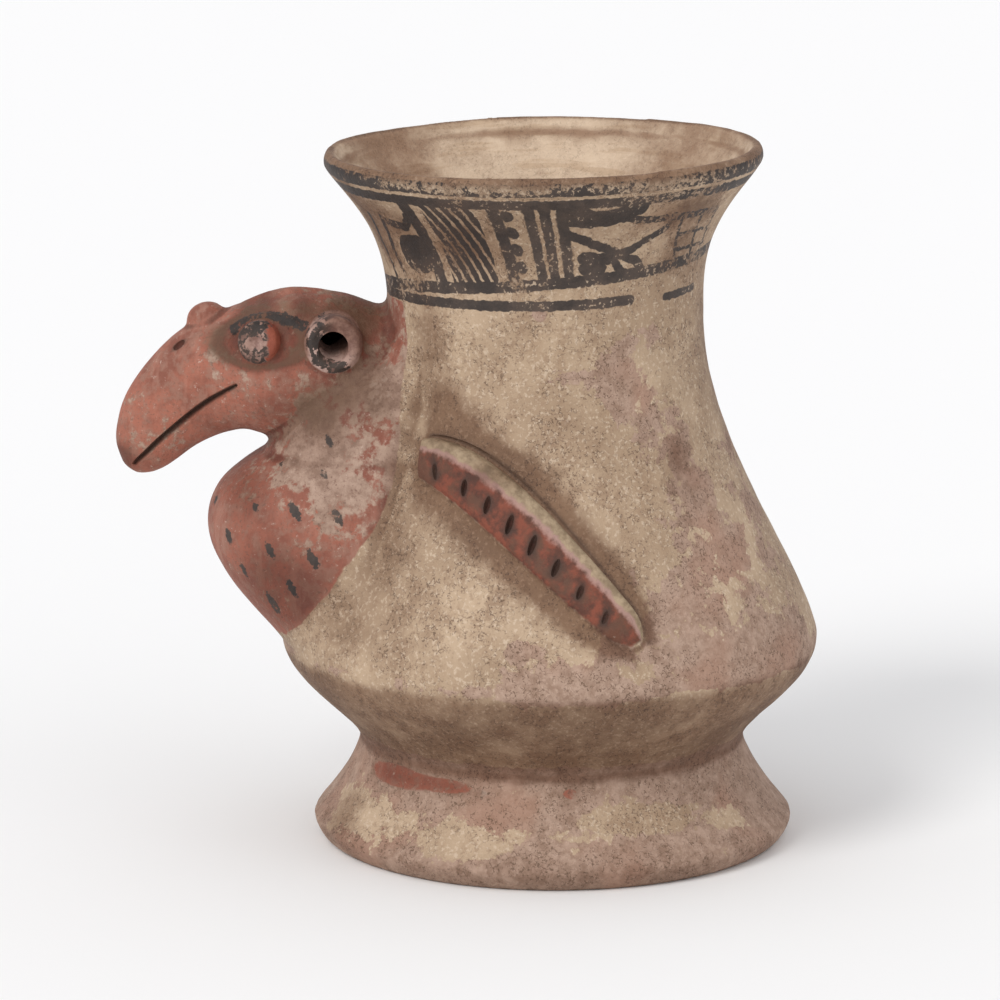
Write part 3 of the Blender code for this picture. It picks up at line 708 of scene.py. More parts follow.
for side in (1.0, -1.0):
    ear_centre, ear_out = ear_frame(side)
    bpy.ops.mesh.primitive_cylinder_add(
        vertices=40, radius=EAR_HOLE_RADIUS, depth=EAR_HOLE_DEPTH, location=ear_centre,
        rotation=(0.0, 0.5 * math.pi + side * EAR_HOLE_CLIMB, 0.0),
    )
    tools.append(bpy.context.object)
    mouth_steps = 44

    def mouth_place(round_share, along_share):
        share = along_share
        place = MOUTH_BACK_PLACE + (MOUTH_TIP_PLACE - MOUTH_BACK_PLACE) * share
        angle = side * (MOUTH_ANGLE + MOUTH_BOW * math.sin(math.pi * share) ** 1.2)
        point, outward, forward = head_frame(place, angle)
        across = outward.cross(forward).normalized()
        taper = 0.30 + 0.70 * math.sin(math.pi * (0.03 + 0.94 * share)) ** 0.5
        if share in (0.0, 1.0):
            return point + outward * 0.5 * MOUTH_DEPTH
        turn = 2.0 * math.pi * round_share
        half = 0.5 * MOUTH_WIDTH * taper * (1.15 + 0.75 * math.cos(turn))
        return point + outward * MOUTH_DEPTH * taper * math.cos(turn) + across * half * math.sin(turn)

    tools.append(drawn_skin("mouth_tool", 16, mouth_steps, mouth_place))
    lips = [mouth_place(0.5, i / mouth_steps) for i in range(2, mouth_steps - 1, 2)]
    cut_lines += [(first, second, 0.0011) for first, second in zip(lips, lips[1:])]
    point, outward, forward = head_frame(NOSTRIL_PLACE, side * NOSTRIL_ANGLE)
    across = outward.cross(forward).normalized()
    cut_lines.append((point - 0.0015 * forward, point + 0.0015 * forward, 0.0011))
    tools.append(pellet(
        "nostril_tool", point, forward * NOSTRIL_LENGTH * 0.5, across * MOUTH_WIDTH * 0.5,
        outward * NOSTRIL_LENGTH * 0.45,
    ))
    for i in range(NOTCH_COUNT):
        share = 0.15 + 0.75 * (i / (NOTCH_COUNT - 1)) ** 0.75
        point, outward, ahead, up = wing_frame(share, side)
        centre = point - up * 0.13 * WING_WIDTH + outward * 0.80 * WING_RISE
        slope = ((up + 0.35 * outward).normalized() - 0.45 * ahead).normalized()
        across = slope.cross(outward).normalized()
        grow = 1.0 + 0.12 * math.sin(5.0 * i)
        reach = slope * 0.32 * NOTCH_LENGTH * grow
        deep = centre - 0.0014 * outward
        cut_lines.append((deep - reach, deep + reach, 0.0013))
        tools.append(pellet(
            "notch_tool", centre, slope * 0.5 * NOTCH_LENGTH * grow, across * 0.5 * NOTCH_WIDTH,
            outward * NOTCH_DEPTH,
        ))
    groove_steps = 40

    def groove_place(round_share, along_share):
        share = 0.02 + 0.95 * along_share
        point, outward, ahead, up = wing_frame(share, side)
        centre = point + up * 0.52 * WING_WIDTH * wing_swell(share) + outward * 0.0004
        if along_share in (0.0, 1.0):
            return centre
        radius = 0.0015 * math.sin(math.pi * (0.05 + 0.9 * along_share)) ** 0.5
        turn = 2.0 * math.pi * round_share
        return centre + radius * (up * math.cos(turn) + outward * math.sin(turn))

    tools.append(drawn_skin("groove_tool", 10, groove_steps, groove_place))
cut_out(tools)

line_height = lip_bottom - 0.0009


def line_place(round_share, along_share):
    angle = 2.0 * math.pi * round_share
    turn = 2.0 * math.pi * along_share
    wave = 0.0003 * math.sin(3.0 * angle + 1.0)
    radius = profile_radius(line_height) + LINE_RADIUS * math.cos(turn)
    return level_point(angle, radius, line_height + wave + LINE_RADIUS * math.sin(turn), lip_tilt)


cut_out([drawn_skin("line_tool", 260, 10, line_place)])

MOST_TRIANGLES = 190000
jar.data.calc_loop_triangles()
only(jar)
bpy.ops.object.modifier_add(type='DECIMATE')
jar.modifiers[0].ratio = min(1.0, MOST_TRIANGLES / len(jar.data.loop_triangles))
bpy.ops.object.modifier_apply(modifier=jar.modifiers[0].name)
bpy.ops.object.shade_smooth_by_angle(angle=math.radians(55.0))

# Where the paint, wear, dirt and painted shade lie
# Each is kept on the surface as a field: how much slip is gone, how dirty or painted with shade it is, how
# far inside the red paint. The far side mirrors the near one, as on such jars.
points, outward = coordinates(jar)
mean = neighbour_mean(jar)
side_reach = np.abs(points[:, 0])
across = points[:, 1] - (FOOT_PLACE - LEAN * points[:, 2] / HEIGHT)
angle = np.degrees(np.arctan2(across, side_reach))
from_front = 90.0 + angle
radius = np.hypot(across, points[:, 0])
lifted = np.clip((points[:, 2] - BODY_HEIGHT) / (HEIGHT - BODY_HEIGHT), 0.0, 1.0)
height = points[:, 2] - lip_tilt * lifted * lifted * (3.0 - 2.0 * lifted) * across
height_mm = 1000.0 * height
table_heights = np.linspace(0.0, HEIGHT, 521)
table_radii = np.array([profile_radius(value) for value in table_heights])
depth = np.interp(height, table_heights, table_radii) - radius
NECK_DRAWING_RADIUS = 0.066


def keep_field(name, values):
    """Stores one value, or three, for each point of the jar."""
    kind = 'FLOAT' if values.ndim == 1 else 'FLOAT_VECTOR'
    field = jar.data.attributes.new(name, kind, 'POINT')
    field.data.foreach_set("value" if values.ndim == 1 else "vector", values.astype(np.float32).ravel())


def patches(*rows):
    """Soft patches on the turned wall: angle, height, half width, half height, strength."""
    total = np.zeros(len(points))
    for at_angle, at_height, half_angle, half_height, strength in rows:
        far = ((angle - at_angle) / half_angle) ** 2 + ((height_mm - at_height) / half_height) ** 2
        total += strength * np.exp(-far)
    return total


def between(low, high, values, soft=1.0):
    """1 between two values and 0 outside them, with soft ends."""
    return np.clip((values - low) / soft + 0.5, 0.0, 1.0) * np.clip((high - values) / soft + 0.5, 0.0, 1.0)


outside = np.clip(1.0 - (depth - 0.0015) / 0.003, 0.0, 1.0)
far_side = points[:, 0] < 0.0
turned = np.stack((np.radians(angle) * NECK_DRAWING_RADIUS, height, depth), axis=1)
keep_field("turned", turned)

# how hollow the surface is, later used to darken the lows with dirt and painted shade
soft = wiped(points, mean, 12)
crease = np.einsum("ij,ij->i", soft - points, outward) * 1000.0
keep_field("crease", wiped(crease, mean, 1))

worn = 0.10 + patches(
    (29.5, 178.0, 11.0, 20.0, 0.62), (9.0, 184.0, 12.0, 8.0, 0.42), (39.0, 199.0, 8.0, 8.0, 0.45),
    (46.0, 148.0, 12.0, 26.0, 0.55), (55.0, 115.0, 16.0, 20.0, 0.50), (28.0, 118.0, 8.0, 18.0, 0.30),
    (30.0, 99.0, 14.0, 12.0, 0.50), (52.0, 84.0, 26.0, 10.0, 0.80), (10.0, 90.0, 10.0, 8.0, 0.40),
    (1.5, 79.0, 13.0, 7.0, 0.85), (-7.0, 92.0, 5.0, 4.0, 0.60), (-17.0, 88.0, 4.0, 3.0, 0.30),
    (78.0, 150.0, 14.0, 50.0, 0.40), (-30.0, 84.0, 12.0, 4.0, 0.20),
)
worn += 0.38 * np.exp(-((height_mm - 76.0) / 3.5) ** 2)
worn += 0.72 * between(-5.0, 43.0, height_mm, 3.0) - patches(
    (25.0, 23.5, 17.0, 6.0, 0.85), (-24.0, 17.0, 20.0, 7.5, 0.55), (52.0, 17.0, 9.0, 6.0, 0.35),
    (-50.0, 17.0, 12.0, 8.0, 0.3), (-64.0, 16.0, 12.0, 12.0, 0.45),
)
worn = np.clip(worn, 0.0, 1.3) * outside + 0.16 * (1.0 - outside)
keep_field("worn", worn)

# where the red ends: degrees from the bird's middle at millimetres over the table
RED_EDGE = (
    (0.0, -8.0), (78.0, 0.0), (85.0, 22.0), (90.0, 27.5), (96.0, 30.5), (104.0, 33.5), (113.0, 35.0),
    (121.0, 36.5), (126.0, 37.7), (137.0, 38.3), (147.0, 37.9), (158.0, 36.8), (173.0, 34.8),
    (186.0, 32.6), (196.0, 29.5), (203.0, 28.0), (215.0, 26.0),
)
from_table, to_cream = np.array(RED_EDGE).T
red_inside = np.radians(np.interp(1000.0 * points[:, 2], from_table, to_cream) - from_front)
red_inside *= np.maximum(radius, 0.05)
on_neck = np.clip((depth + 0.006) / 0.004, 0.0, 1.0)
above = (0.2065 - points[:, 2]) + 0.02 * (1.0 - on_neck)
red_inside = np.minimum(red_inside, above)
# a round red dot under the lower band, on the near side only
DOT_ANGLE = -2.4
DOT_HEIGHT = 0.2068
DOT_RADIUS = 0.0027
dot_reach = np.hypot(np.radians(angle - DOT_ANGLE) * radius, height - DOT_HEIGHT)
red_inside = np.maximum(red_inside, np.where(far_side, -0.01, DOT_RADIUS - dot_reach))
foot_patch = patches(
    (-52.0, 32.5, 16.0, 4.5, 1.0), (4.7, 33.0, 3.0, 2.5, 0.8), (-30.0, 33.0, 9.0, 3.0, 0.7),
)
red_inside = np.maximum(red_inside, 0.006 * (foot_patch - 0.5))
red_inside = np.where(depth > 0.002, -0.01, red_inside)
keep_field("red_inside", red_inside)

wing_shadow_and_dirt = np.zeros(len(points))
wing_over = np.full(len(points), 4.0)
wing_count = 80
wing_shares = [i / wing_count for i in range(wing_count + 1)]
near_frames = np.array([[[*vector] for vector in wing_frame(share, 1.0)] for share in wing_shares])
centres, outs, alongs, overs = near_frames.transpose(1, 0, 2)
halves = np.array([0.5 * WING_WIDTH * max(0.3, wing_swell(share)) for share in wing_shares])
mirrored = points.copy()
mirrored[:, 0] = side_reach
to_wing = np.linalg.norm(mirrored - centres.mean(axis=0), axis=1)
close = np.where((to_wing < 0.075) & (depth < 0.003))[0]
gaps = np.linalg.norm(mirrored[close, None, :] - centres[None, :, :], axis=2)
nearest = gaps.argmin(axis=1)
away = mirrored[close] - centres[nearest]
over = np.einsum("ij,ij->i", away, overs[nearest]) / halves[nearest]
beyond = np.abs(np.einsum("ij,ij->i", away, alongs[nearest]))
wing_over[close] = np.clip(over, -4.0, 4.0)
# a halo round each wing: painted shadow round the raised strip, together with dirt
wing_shadow_and_dirt[close] = np.clip(2.10 - np.abs(over), 0.0, 1.0) * (np.abs(over) > 0.97) * (beyond < 0.004)
on_wing = np.zeros(len(points))
raised = np.einsum("ij,ij->i", away, outs[nearest])
on_wing[close] = np.clip((1.05 - np.abs(over)) / 0.1, 0.0, 1.0)
on_wing[close] *= np.clip((raised - 0.0006) / 0.0006, 0.0, 1.0)
on_wing[close] *= np.clip(1.5 - beyond / 0.002, 0.0, 1.0)
keep_field("wing_over", wing_over)
keep_field("on_wing", on_wing)

# Dirt and stains, with painted shade mixed in: under the shoulder, round the wings, under the crest and
# inside the neck
grime_and_shade = 0.10 + patches(
    (-48.0, 200.0, 7.0, 18.0, 0.45), (-39.0, 173.0, 8.0, 10.0, 0.60), (-30.0, 167.0, 8.0, 8.0, 0.50),
    (-45.0, 122.0, 7.0, 20.0, 0.35), (-52.0, 92.0, 12.0, 14.0, 0.30), (-66.0, 238.0, 10.0, 20.0, 0.75),
    (46.0, 243.0, 16.0, 8.0, 0.55), (52.0, 226.0, 12.0, 10.0, 0.45), (-68.0, 16.0, 9.0, 9.0, 0.45),
    (-18.0, 150.0, 12.0, 6.0, 0.35), (80.0, 190.0, 12.0, 60.0, 0.25),
)
# painted shade under the body's widest part, together with dirt there
grime_and_shade += 0.50 * between(40.0, 74.0, height_mm, 3.0) * outside
grime_and_shade += 0.80 * np.exp(-((height_mm - 38.2) / 1.3) ** 2) * outside + 0.45 * foot_patch
grime_and_shade += patches(
    (-25.0, 233.0, 14.0, 13.0, 0.60), (-48.0, 236.0, 9.0, 12.0, 0.50), (44.0, 150.0, 9.0, 12.0, 0.40),
    (0.0, 5.0, 90.0, 6.0, 0.25), (20.0, 240.0, 20.0, 8.0, 0.20),
)
# painted shadow and dirt round the wings
grime_and_shade += 1.15 * wing_shadow_and_dirt
grime_and_shade += 0.55 * between(256.2, 262.0, height_mm, 1.5)
# inside the neck: darker toward the bird's side and toward the back, painted shade on the inner walls
# together with dirt
grime_and_shade = grime_and_shade * outside + (1.0 - outside) * (
    0.10 + 0.5 * between(-75.0, -35.0, angle, 20.0) + 0.35 * between(30.0, 80.0, angle, 30.0)
)
head_part = np.clip((red_inside + 0.001) / 0.002, 0.0, 1.0)


def smudges(*rows):
    """Soft patches on the bird, seen from the side: along Y, height, reach and strength."""
    total = np.zeros(len(points))
    for at_y, at_height, reach, strength in rows:
        far = ((points[:, 1] - at_y) ** 2 + (points[:, 2] - at_height) ** 2) / reach ** 2
        total += strength * np.exp(-far)
    return total * head_part


# on the head: stains, and along the crest's lower edge, at about 0.2 m high, painted shade under the crest
grime_and_shade += smudges(
    (-0.052, 0.166, 0.014, 0.50), (-0.036, 0.174, 0.012, 0.35), (-0.062, 0.153, 0.008, 0.20),
    (-0.062, 0.187, 0.005, 0.35), (-0.128, 0.144, 0.005, 0.90), (-0.040, 0.196, 0.010, 0.60),
    (-0.058, 0.098, 0.020, 0.45), (-0.073, 0.166, 0.007, 0.25), (-0.081, 0.199, 0.004, 0.65),
    (-0.074, 0.202, 0.004, 0.60), (-0.060, 0.201, 0.005, 0.65), (-0.048, 0.198, 0.005, 0.65),
    (-0.080, 0.134, 0.010, 0.40), (-0.072, 0.108, 0.012, 0.40),
)
eye_point, eye_away = eye_frame(1.0)
eye_ahead = Vector((0.0, -1.0, 0.06))
eye_ahead = (eye_ahead - eye_away * eye_ahead.dot(eye_away)).normalized()
eye_up = eye_ahead.cross(eye_away)
from_eye = mirrored - np.array(eye_point)
almond = np.hypot(from_eye @ np.array(eye_ahead) / 2.05, from_eye @ np.array(eye_up) / 1.15) / EYE_RADIUS
near_eye = (np.linalg.norm(from_eye, axis=1) < 0.03) * head_part
almond_line = np.exp(-((almond - 0.98) / 0.13) ** 2)
grime_and_shade += (0.7 * almond_line + 0.30 * between(0.0, 1.0, almond, 0.2)) * near_eye
# the row at about 0.2 m high along the crest's lower edge is painted shade under the crest
film_and_shade = 0.95 * almond_line * near_eye + smudges(
    (-0.081, 0.199, 0.003, 0.85), (-0.075, 0.2015, 0.003, 0.80), (-0.067, 0.2015, 0.004, 0.75),
    (-0.059, 0.201, 0.004, 0.75), (-0.050, 0.199, 0.005, 0.75), (-0.043, 0.194, 0.006, 0.70),
    (-0.036, 0.200, 0.010, 0.65), (-0.040, 0.176, 0.014, 0.45), (-0.056, 0.166, 0.010, 0.70),
    (-0.094, 0.190, 0.005, 0.50), (-0.062, 0.187, 0.005, 0.50), (-0.030, 0.160, 0.012, 0.35),
) + patches(
    (-27.0, 233.0, 8.0, 14.0, 0.75), (-46.0, 238.0, 8.0, 9.0, 0.55), (48.0, 244.0, 15.0, 7.0, 0.65),
    (-70.0, 235.0, 8.0, 20.0, 0.60), (54.0, 228.0, 10.0, 10.0, 0.50), (-41.0, 176.0, 4.0, 12.0, 0.35),
) * outside
keep_field("film_and_shade", np.clip(film_and_shade, 0.0, 1.0))
keep_field("grime_and_shade", np.clip(wiped(grime_and_shade, mean, 3), 0.0, 1.0))
edge_wear = 0.10 * np.exp(-(red_inside / 0.007) ** 2) * (points[:, 2] > 0.135)
keep_field("red_wear", edge_wear + smudges(
    (-0.048, 0.158, 0.022, 0.16), (-0.062, 0.147, 0.012, 0.12), (-0.044, 0.136, 0.014, 0.08),
    (-0.036, 0.180, 0.012, 0.12), (-0.100, 0.172, 0.020, -0.03), (-0.070, 0.176, 0.010, -0.02),
    (-0.082, 0.112, 0.014, -0.03), (-0.040, 0.204, 0.012, 0.05), (-0.080, 0.162, 0.012, -0.05),
    (-0.108, 0.140, 0.012, -0.04),
))
keep_field("chalk", smudges(
    (-0.034, 0.181, 0.010, 0.08), (-0.036, 0.170, 0.008, 0.08), (-0.050, 0.183, 0.006, 0.06),
    (-0.066, 0.172, 0.005, 0.06), (-0.072, 0.203, 0.006, 0.08), (-0.110, 0.160, 0.010, 0.03),
    (-0.0646, 0.1982, 0.004, 0.14),
))
keep_field("black_wear", patches(
    (42.0, 246.0, 16.0, 9.0, 0.10), (60.0, 228.0, 18.0, 14.0, 0.09), (-60.0, 215.0, 12.0, 6.0, 0.06),
    (20.0, 255.5, 50.0, 2.5, 0.08), (-30.0, 255.5, 30.0, 2.5, 0.10), (-5.0, 248.0, 20.0, 4.0, -0.02),
    (0.0, 257.5, 70.0, 1.2, 0.08), (0.0, 218.0, 60.0, 3.0, 0.03),
) + smudges((-0.060, 0.192, 0.030, 0.05)))

# how dark each point is with the dirt and painted shade of the nearest cut, and with painted shade down
# the ear holes
cuts = np.zeros(len(points))
for first, second, reach in cut_lines:
    first = np.array(first)
    run = np.array(second) - first
    share = np.clip((points - first) @ run / (run @ run), 0.0, 1.0)
    gap = np.linalg.norm(points - first - share[:, None] * run, axis=1)
    cuts = np.maximum(cuts, np.clip(2.0 - gap / reach, 0.0, 1.0) * 0.85)
groove_dirt = np.clip(1.0 - np.abs(over - 1.10) / 0.13, 0.0, 1.0) * (beyond < 0.003)
cuts[close] = np.maximum(cuts[close], 0.62 * groove_dirt)
# painted shade deepening down each ear hole
for side in (1.0, -1.0):
    centre, facing = ear_frame(side)
    away = points - np.array(centre)
    off = np.linalg.norm(np.cross(away, np.array(facing)), axis=1)
    deep = side * (np.array(centre)[0] + side * 0.6 * EAR_RISE - points[:, 0])
    in_hole = (off < 1.05 * EAR_HOLE_RADIUS) & (deep > 0.0) & (deep < 0.03)
    cuts = np.maximum(cuts, in_hole * np.clip(deep / 0.004, 0.0, 0.82))
keep_field("cuts", cuts)

# Paint and slip
# Cream slip over pinkish buff clay, red paint on the head, breast and wings, and black line work
# on the neck, brows, eyes, ears and breast. The slip is flaked and crazed; dirt and painted shade fill its
# lows.
clay = bpy.data.materials.new("slipped_clay")
clay.use_nodes = True
tree = clay.node_tree
shader = tree.nodes["Principled BSDF"]


def put(tree, socket, value):
    """Gives a socket a number, a colour, or what comes out of another socket."""
    if isinstance(value, bpy.types.NodeSocket):
        tree.links.new(value, socket)
    else:
        socket.default_value = value


def reckon(tree, operation, *values):
    """A sum of numbers."""
    node = tree.nodes.new("ShaderNodeMath")
    node.operation = operation
    for socket, value in zip(node.inputs, values):
        put(tree, socket, value)
    return node.outputs[0]


def vector_reckon(tree, operation, *values, scale=None):
    """A sum of vectors; lengths and products come out as numbers."""
    node = tree.nodes.new("ShaderNodeVectorMath")
    node.operation = operation
    for socket, value in zip(node.inputs, values):
        put(tree, socket, value)
    if scale is not None:
        put(tree, node.inputs["Scale"], scale)
    number = operation in ('DOT_PRODUCT', 'DISTANCE', 'LENGTH')
    return node.outputs["Value" if number else "Vector"]


def ease(tree, value, low, high):
    """0 at low, 1 at high, smooth between."""
    node = tree.nodes.new("ShaderNodeMapRange")
    node.interpolation_type = 'SMOOTHSTEP'
    node.clamp = False
    for socket, setting in zip(node.inputs, (value, low, high, 0.0, 1.0)):
        put(tree, socket, setting)
    return node.outputs[0]


def blend(tree, share, under, over, kind='MIX'):
    """One colour laid over another."""
    node = tree.nodes.new("ShaderNodeMix")
    node.data_type = 'RGBA'
    node.blend_type = kind
    for index, value in ((0, share), (6, under), (7, over)):
        put(tree, node.inputs[index], value)
    return node.outputs[2]


def times(tree, *values):
    """Several shares multiplied together."""
    result = values[0]
    for value in values[1:]:
        result = reckon(tree, 'MULTIPLY', result, value)
    return result


def cloud(tree, place, scale, detail=3.0, rough=0.55, stretch=None):
    """Uneven soft spots over the surface, 0 to 1."""
    if stretch:
        place = vector_reckon(tree, 'MULTIPLY', place, stretch)
    node = tree.nodes.new("ShaderNodeTexNoise")
    put(tree, node.inputs["Vector"], place)
    node.inputs["Scale"].default_value = scale
    node.inputs["Detail"].default_value = detail
    node.inputs["Roughness"].default_value = rough
    return node.outputs[0]


def field(tree, name, vector=False):
    """A field kept on the surface."""
    node = tree.nodes.new("ShaderNodeAttribute")
    node.attribute_name = name
    return node.outputs["Vector" if vector else "Fac"]


def parts_of(tree, vector):
    """The three numbers of a vector."""
    node = tree.nodes.new("ShaderNodeSeparateXYZ")
    put(tree, node.inputs[0], vector)
    return node.outputs


def joined(tree, x, y, z):
    """A vector from three numbers."""
    node = tree.nodes.new("ShaderNodeCombineXYZ")
    for socket, value in zip(node.inputs, (x, y, z)):
        put(tree, socket, value)
    return node.outputs[0]


# A brush stroke: how far a place lies outside a line from one point along a run, with round ends
stroke_group = bpy.data.node_groups.new("brush_stroke", 'ShaderNodeTree')
for socket_name, kind in (
    ("Place", 'NodeSocketVector'), ("Start", 'NodeSocketVector'), ("Run", 'NodeSocketVector'),
    ("Pace", 'NodeSocketVector'), ("Width", 'NodeSocketFloat'),
):
    stroke_group.interface.new_socket(socket_name, in_out='INPUT', socket_type=kind)
stroke_group.interface.new_socket("Outside", in_out='OUTPUT', socket_type='NodeSocketFloat')
entry = stroke_group.nodes.new("NodeGroupInput").outputs
leave = stroke_group.nodes.new("NodeGroupOutput").inputs
from_start = vector_reckon(stroke_group, 'SUBTRACT', entry["Place"], entry["Start"])
share = vector_reckon(stroke_group, 'DOT_PRODUCT', from_start, entry["Pace"])
share = reckon(stroke_group, 'MINIMUM', reckon(stroke_group, 'MAXIMUM', share, 0.0), 1.0)
reached = vector_reckon(stroke_group, 'SCALE', entry["Run"], scale=share)
gap = vector_reckon(stroke_group, 'DISTANCE', from_start, reached)
put(stroke_group, leave["Outside"], reckon(stroke_group, 'SUBTRACT', gap, entry["Width"]))


def add_stroke(drawn, place, start, end, half_width):
    """What is drawn so far with one more painted line between two points, in metres."""
    run = end - start
    node = tree.nodes.new("ShaderNodeGroup")
    node.node_tree = stroke_group
    for socket, value in zip(node.inputs, (place, start, run, run / run.length_squared, half_width)):
        put(tree, socket, value)
    return reckon(tree, 'MINIMUM', drawn, node.outputs[0])


place = tree.nodes.new("ShaderNodeTexCoord").outputs["Object"]
turned_place = field(tree, "turned", vector=True)
broad = cloud(tree, place, 26.0, 2.0)
patchy = cloud(tree, place, 70.0, 5.0, 0.66)
ragged = cloud(tree, place, 230.0, 4.0, 0.64)
speck = cloud(tree, place, 640.0, 3.0, 0.62)
grain = cloud(tree, place, 1500.0, 1.0, 0.6)
streak = cloud(tree, place, 170.0, 3.0, 0.6, (1.0, 1.0, 0.2))
sweep = cloud(tree, turned_place, 130.0, 3.0, 0.6, (0.2, 1.6, 1.0))
around, neck_height, wall_depth = parts_of(tree, turned_place)
inside_share = ease(tree, wall_depth, 0.0022, 0.0034)

# Cream slip, and the clay where it has flaked off
slip = blend(tree, ease(tree, broad, 0.30, 0.72), tint(158, 133, 108), tint(185, 160, 133))
slip = blend(tree, times(tree, ease(tree, streak, 0.48, 0.80), 0.55), slip, tint(150, 122, 96))
slip = blend(tree, times(tree, ease(tree, patchy, 0.50, 0.66), 0.35), slip, tint(150, 123, 98))
thin = reckon(tree, 'MULTIPLY_ADD', ragged, 0.65, times(tree, patchy, 0.35))
slip = blend(tree, times(tree, ease(tree, thin, 0.515, 0.555), 0.55), slip, tint(151, 125, 101))
slip = blend(tree, times(tree, ease(tree, speck, 0.52, 0.66), 0.55), slip, tint(208, 187, 163))
slip = blend(tree, times(tree, inside_share, 0.62), slip, tint(224, 200, 173))
brushed = times(tree, ease(tree, sweep, 0.50, 0.62), inside_share, 0.45)
slip = blend(tree, brushed, slip, tint(176, 146, 115))
bare = blend(tree, ease(tree, ragged, 0.34, 0.66), tint(144, 117, 99), tint(170, 143, 125))
bare = blend(tree, times(tree, ease(tree, speck, 0.48, 0.70), 0.5), bare, tint(188, 160, 142))
bare = blend(tree, times(tree, ease(tree, broad, 0.50, 0.70), 0.6), bare, tint(160, 122, 102))
flaking = reckon(tree, 'MULTIPLY_ADD', patchy, 0.72, times(tree, ragged, 0.28))
flaking = reckon(tree, 'MULTIPLY_ADD', field(tree, "worn"), 0.50, flaking)
bare_share = ease(tree, flaking, 0.735, 0.765)
colour = blend(tree, bare_share, slip, bare)

# Short dark cracks and flecks in the slip
crack = reckon(tree, 'ABSOLUTE', reckon(tree, 'SUBTRACT', cloud(tree, place, 340.0, 2.0, 0.5), 0.5))
crack = reckon(tree, 'SUBTRACT', 1.0, ease(tree, crack, 0.007, 0.024))
crack = times(tree, crack, ease(tree, speck, 0.44, 0.52), ease(tree, patchy, 0.38, 0.54), 0.75)
fleck = ease(tree, cloud(tree, place, 820.0, 3.0, 0.65), 0.575, 0.635)
fleck = times(tree, fleck, ease(tree, patchy, 0.34, 0.58), 0.75)
outer_share = reckon(tree, 'MULTIPLY_ADD', inside_share, -0.65, 1.0)
dark_spots = times(tree, reckon(tree, 'MAXIMUM', crack, fleck), outer_share)
colour = blend(tree, dark_spots, colour, tint(92, 70, 53))

# Red paint of the head and breast
uneven = reckon(tree, 'SUBTRACT', ragged, 0.5)
red_edge = reckon(tree, 'MULTIPLY_ADD', uneven, 0.0026, field(tree, "red_inside"))
red_share = ease(tree, red_edge, -0.0003, 0.0004)
red = blend(tree, ease(tree, patchy, 0.36, 0.62), tint(128, 76, 60), tint(166, 102, 82))
red = blend(tree, times(tree, ease(tree, ragged, 0.44, 0.62), 0.65), red, tint(146, 108, 92))
red = blend(tree, times(tree, ease(tree, streak, 0.50, 0.70), 0.45), red, tint(170, 122, 104))
red_worn = blend(tree, ease(tree, ragged, 0.35, 0.65), tint(140, 112, 95), tint(172, 144, 126))
red_off = reckon(tree, 'MULTIPLY_ADD', patchy, 0.62, times(tree, ragged, 0.38))
red_off = reckon(tree, 'ADD', red_off, field(tree, "red_wear"))
red = blend(tree, ease(tree, red_off, 0.555, 0.625), red, red_worn)
red = blend(tree, times(tree, fleck, 0.8), red, tint(112, 82, 68))
pale_fleck = ease(tree, cloud(tree, place, 430.0, 4.0, 0.75), 0.60, 0.72)
red = blend(tree, times(tree, pale_fleck, 0.7), red, tint(196, 170, 155))
colour = blend(tree, red_share, colour, red)

# Wings: red face, painted darker than the head's red as painted shade on its downward slope, worn lilac
# edge, cream ledge
uneven = reckon(tree, 'SUBTRACT', ragged, 0.5)
wing_edge = reckon(tree, 'MULTIPLY_ADD', uneven, 0.55, field(tree, "wing_over"))
wing_red_with_shade = blend(tree, ease(tree, ragged, 0.35, 0.62), tint(86, 51, 38), tint(126, 68, 50))
wing_red_with_shade = blend(tree, times(tree, ease(tree, patchy, 0.46, 0.58), 0.8), wing_red_with_shade, tint(98, 68, 52))
wing_red_with_shade = blend(tree, times(tree, ease(tree, wing_edge, 0.20, 0.42), 0.8), wing_red_with_shade, tint(172, 138, 127))
ledge = blend(tree, ease(tree, ragged, 0.35, 0.65), tint(130, 110, 86), tint(166, 144, 117))
wing_colour = blend(tree, ease(tree, wing_edge, 0.42, 0.56), wing_red_with_shade, ledge)
colour = blend(tree, field(tree, "on_wing"), colour, wing_colour)

# Greyish brown film round the eyes and crest, on the bird's neck and on parts of the jar's neck, with
# painted shade under the crest
film_and_shade = reckon(tree, 'MULTIPLY_ADD', field(tree, "film_and_shade"), 0.60, times(tree, patchy, 0.30))
film_and_shade = reckon(tree, 'MULTIPLY_ADD', ragged, 0.50, film_and_shade)
film_and_shade = times(tree, ease(tree, film_and_shade, 0.52, 0.92), 0.70)
colour = blend(tree, film_and_shade, colour, tint(132, 108, 86))

# Black paint on the neck: bands, leaning stripes, hatching and scallops by rule, the rest by stroke
MILLIMETRE = 0.001
LINE_LEAN = 0.155
shaky = tree.nodes.new("ShaderNodeTexNoise")
put(tree, shaky.inputs["Vector"], place)
shaky.inputs["Scale"].default_value = 420.0
shaky = vector_reckon(tree, 'SUBTRACT', shaky.outputs["Color"], (0.5, 0.5, 0.5))
shaky = vector_reckon(tree, 'SCALE', shaky, scale=1.6 * MILLIMETRE)
drawn_around, drawn_height = parts_of(tree, vector_reckon(tree, 'ADD', turned_place, shaky))[:2]
neck_place = joined(tree, drawn_around, drawn_height, 0.0)


def around_neck(at_angle):
    """Distance round the neck's drawing from degrees."""
    return math.radians(at_angle) * NECK_DRAWING_RADIUS


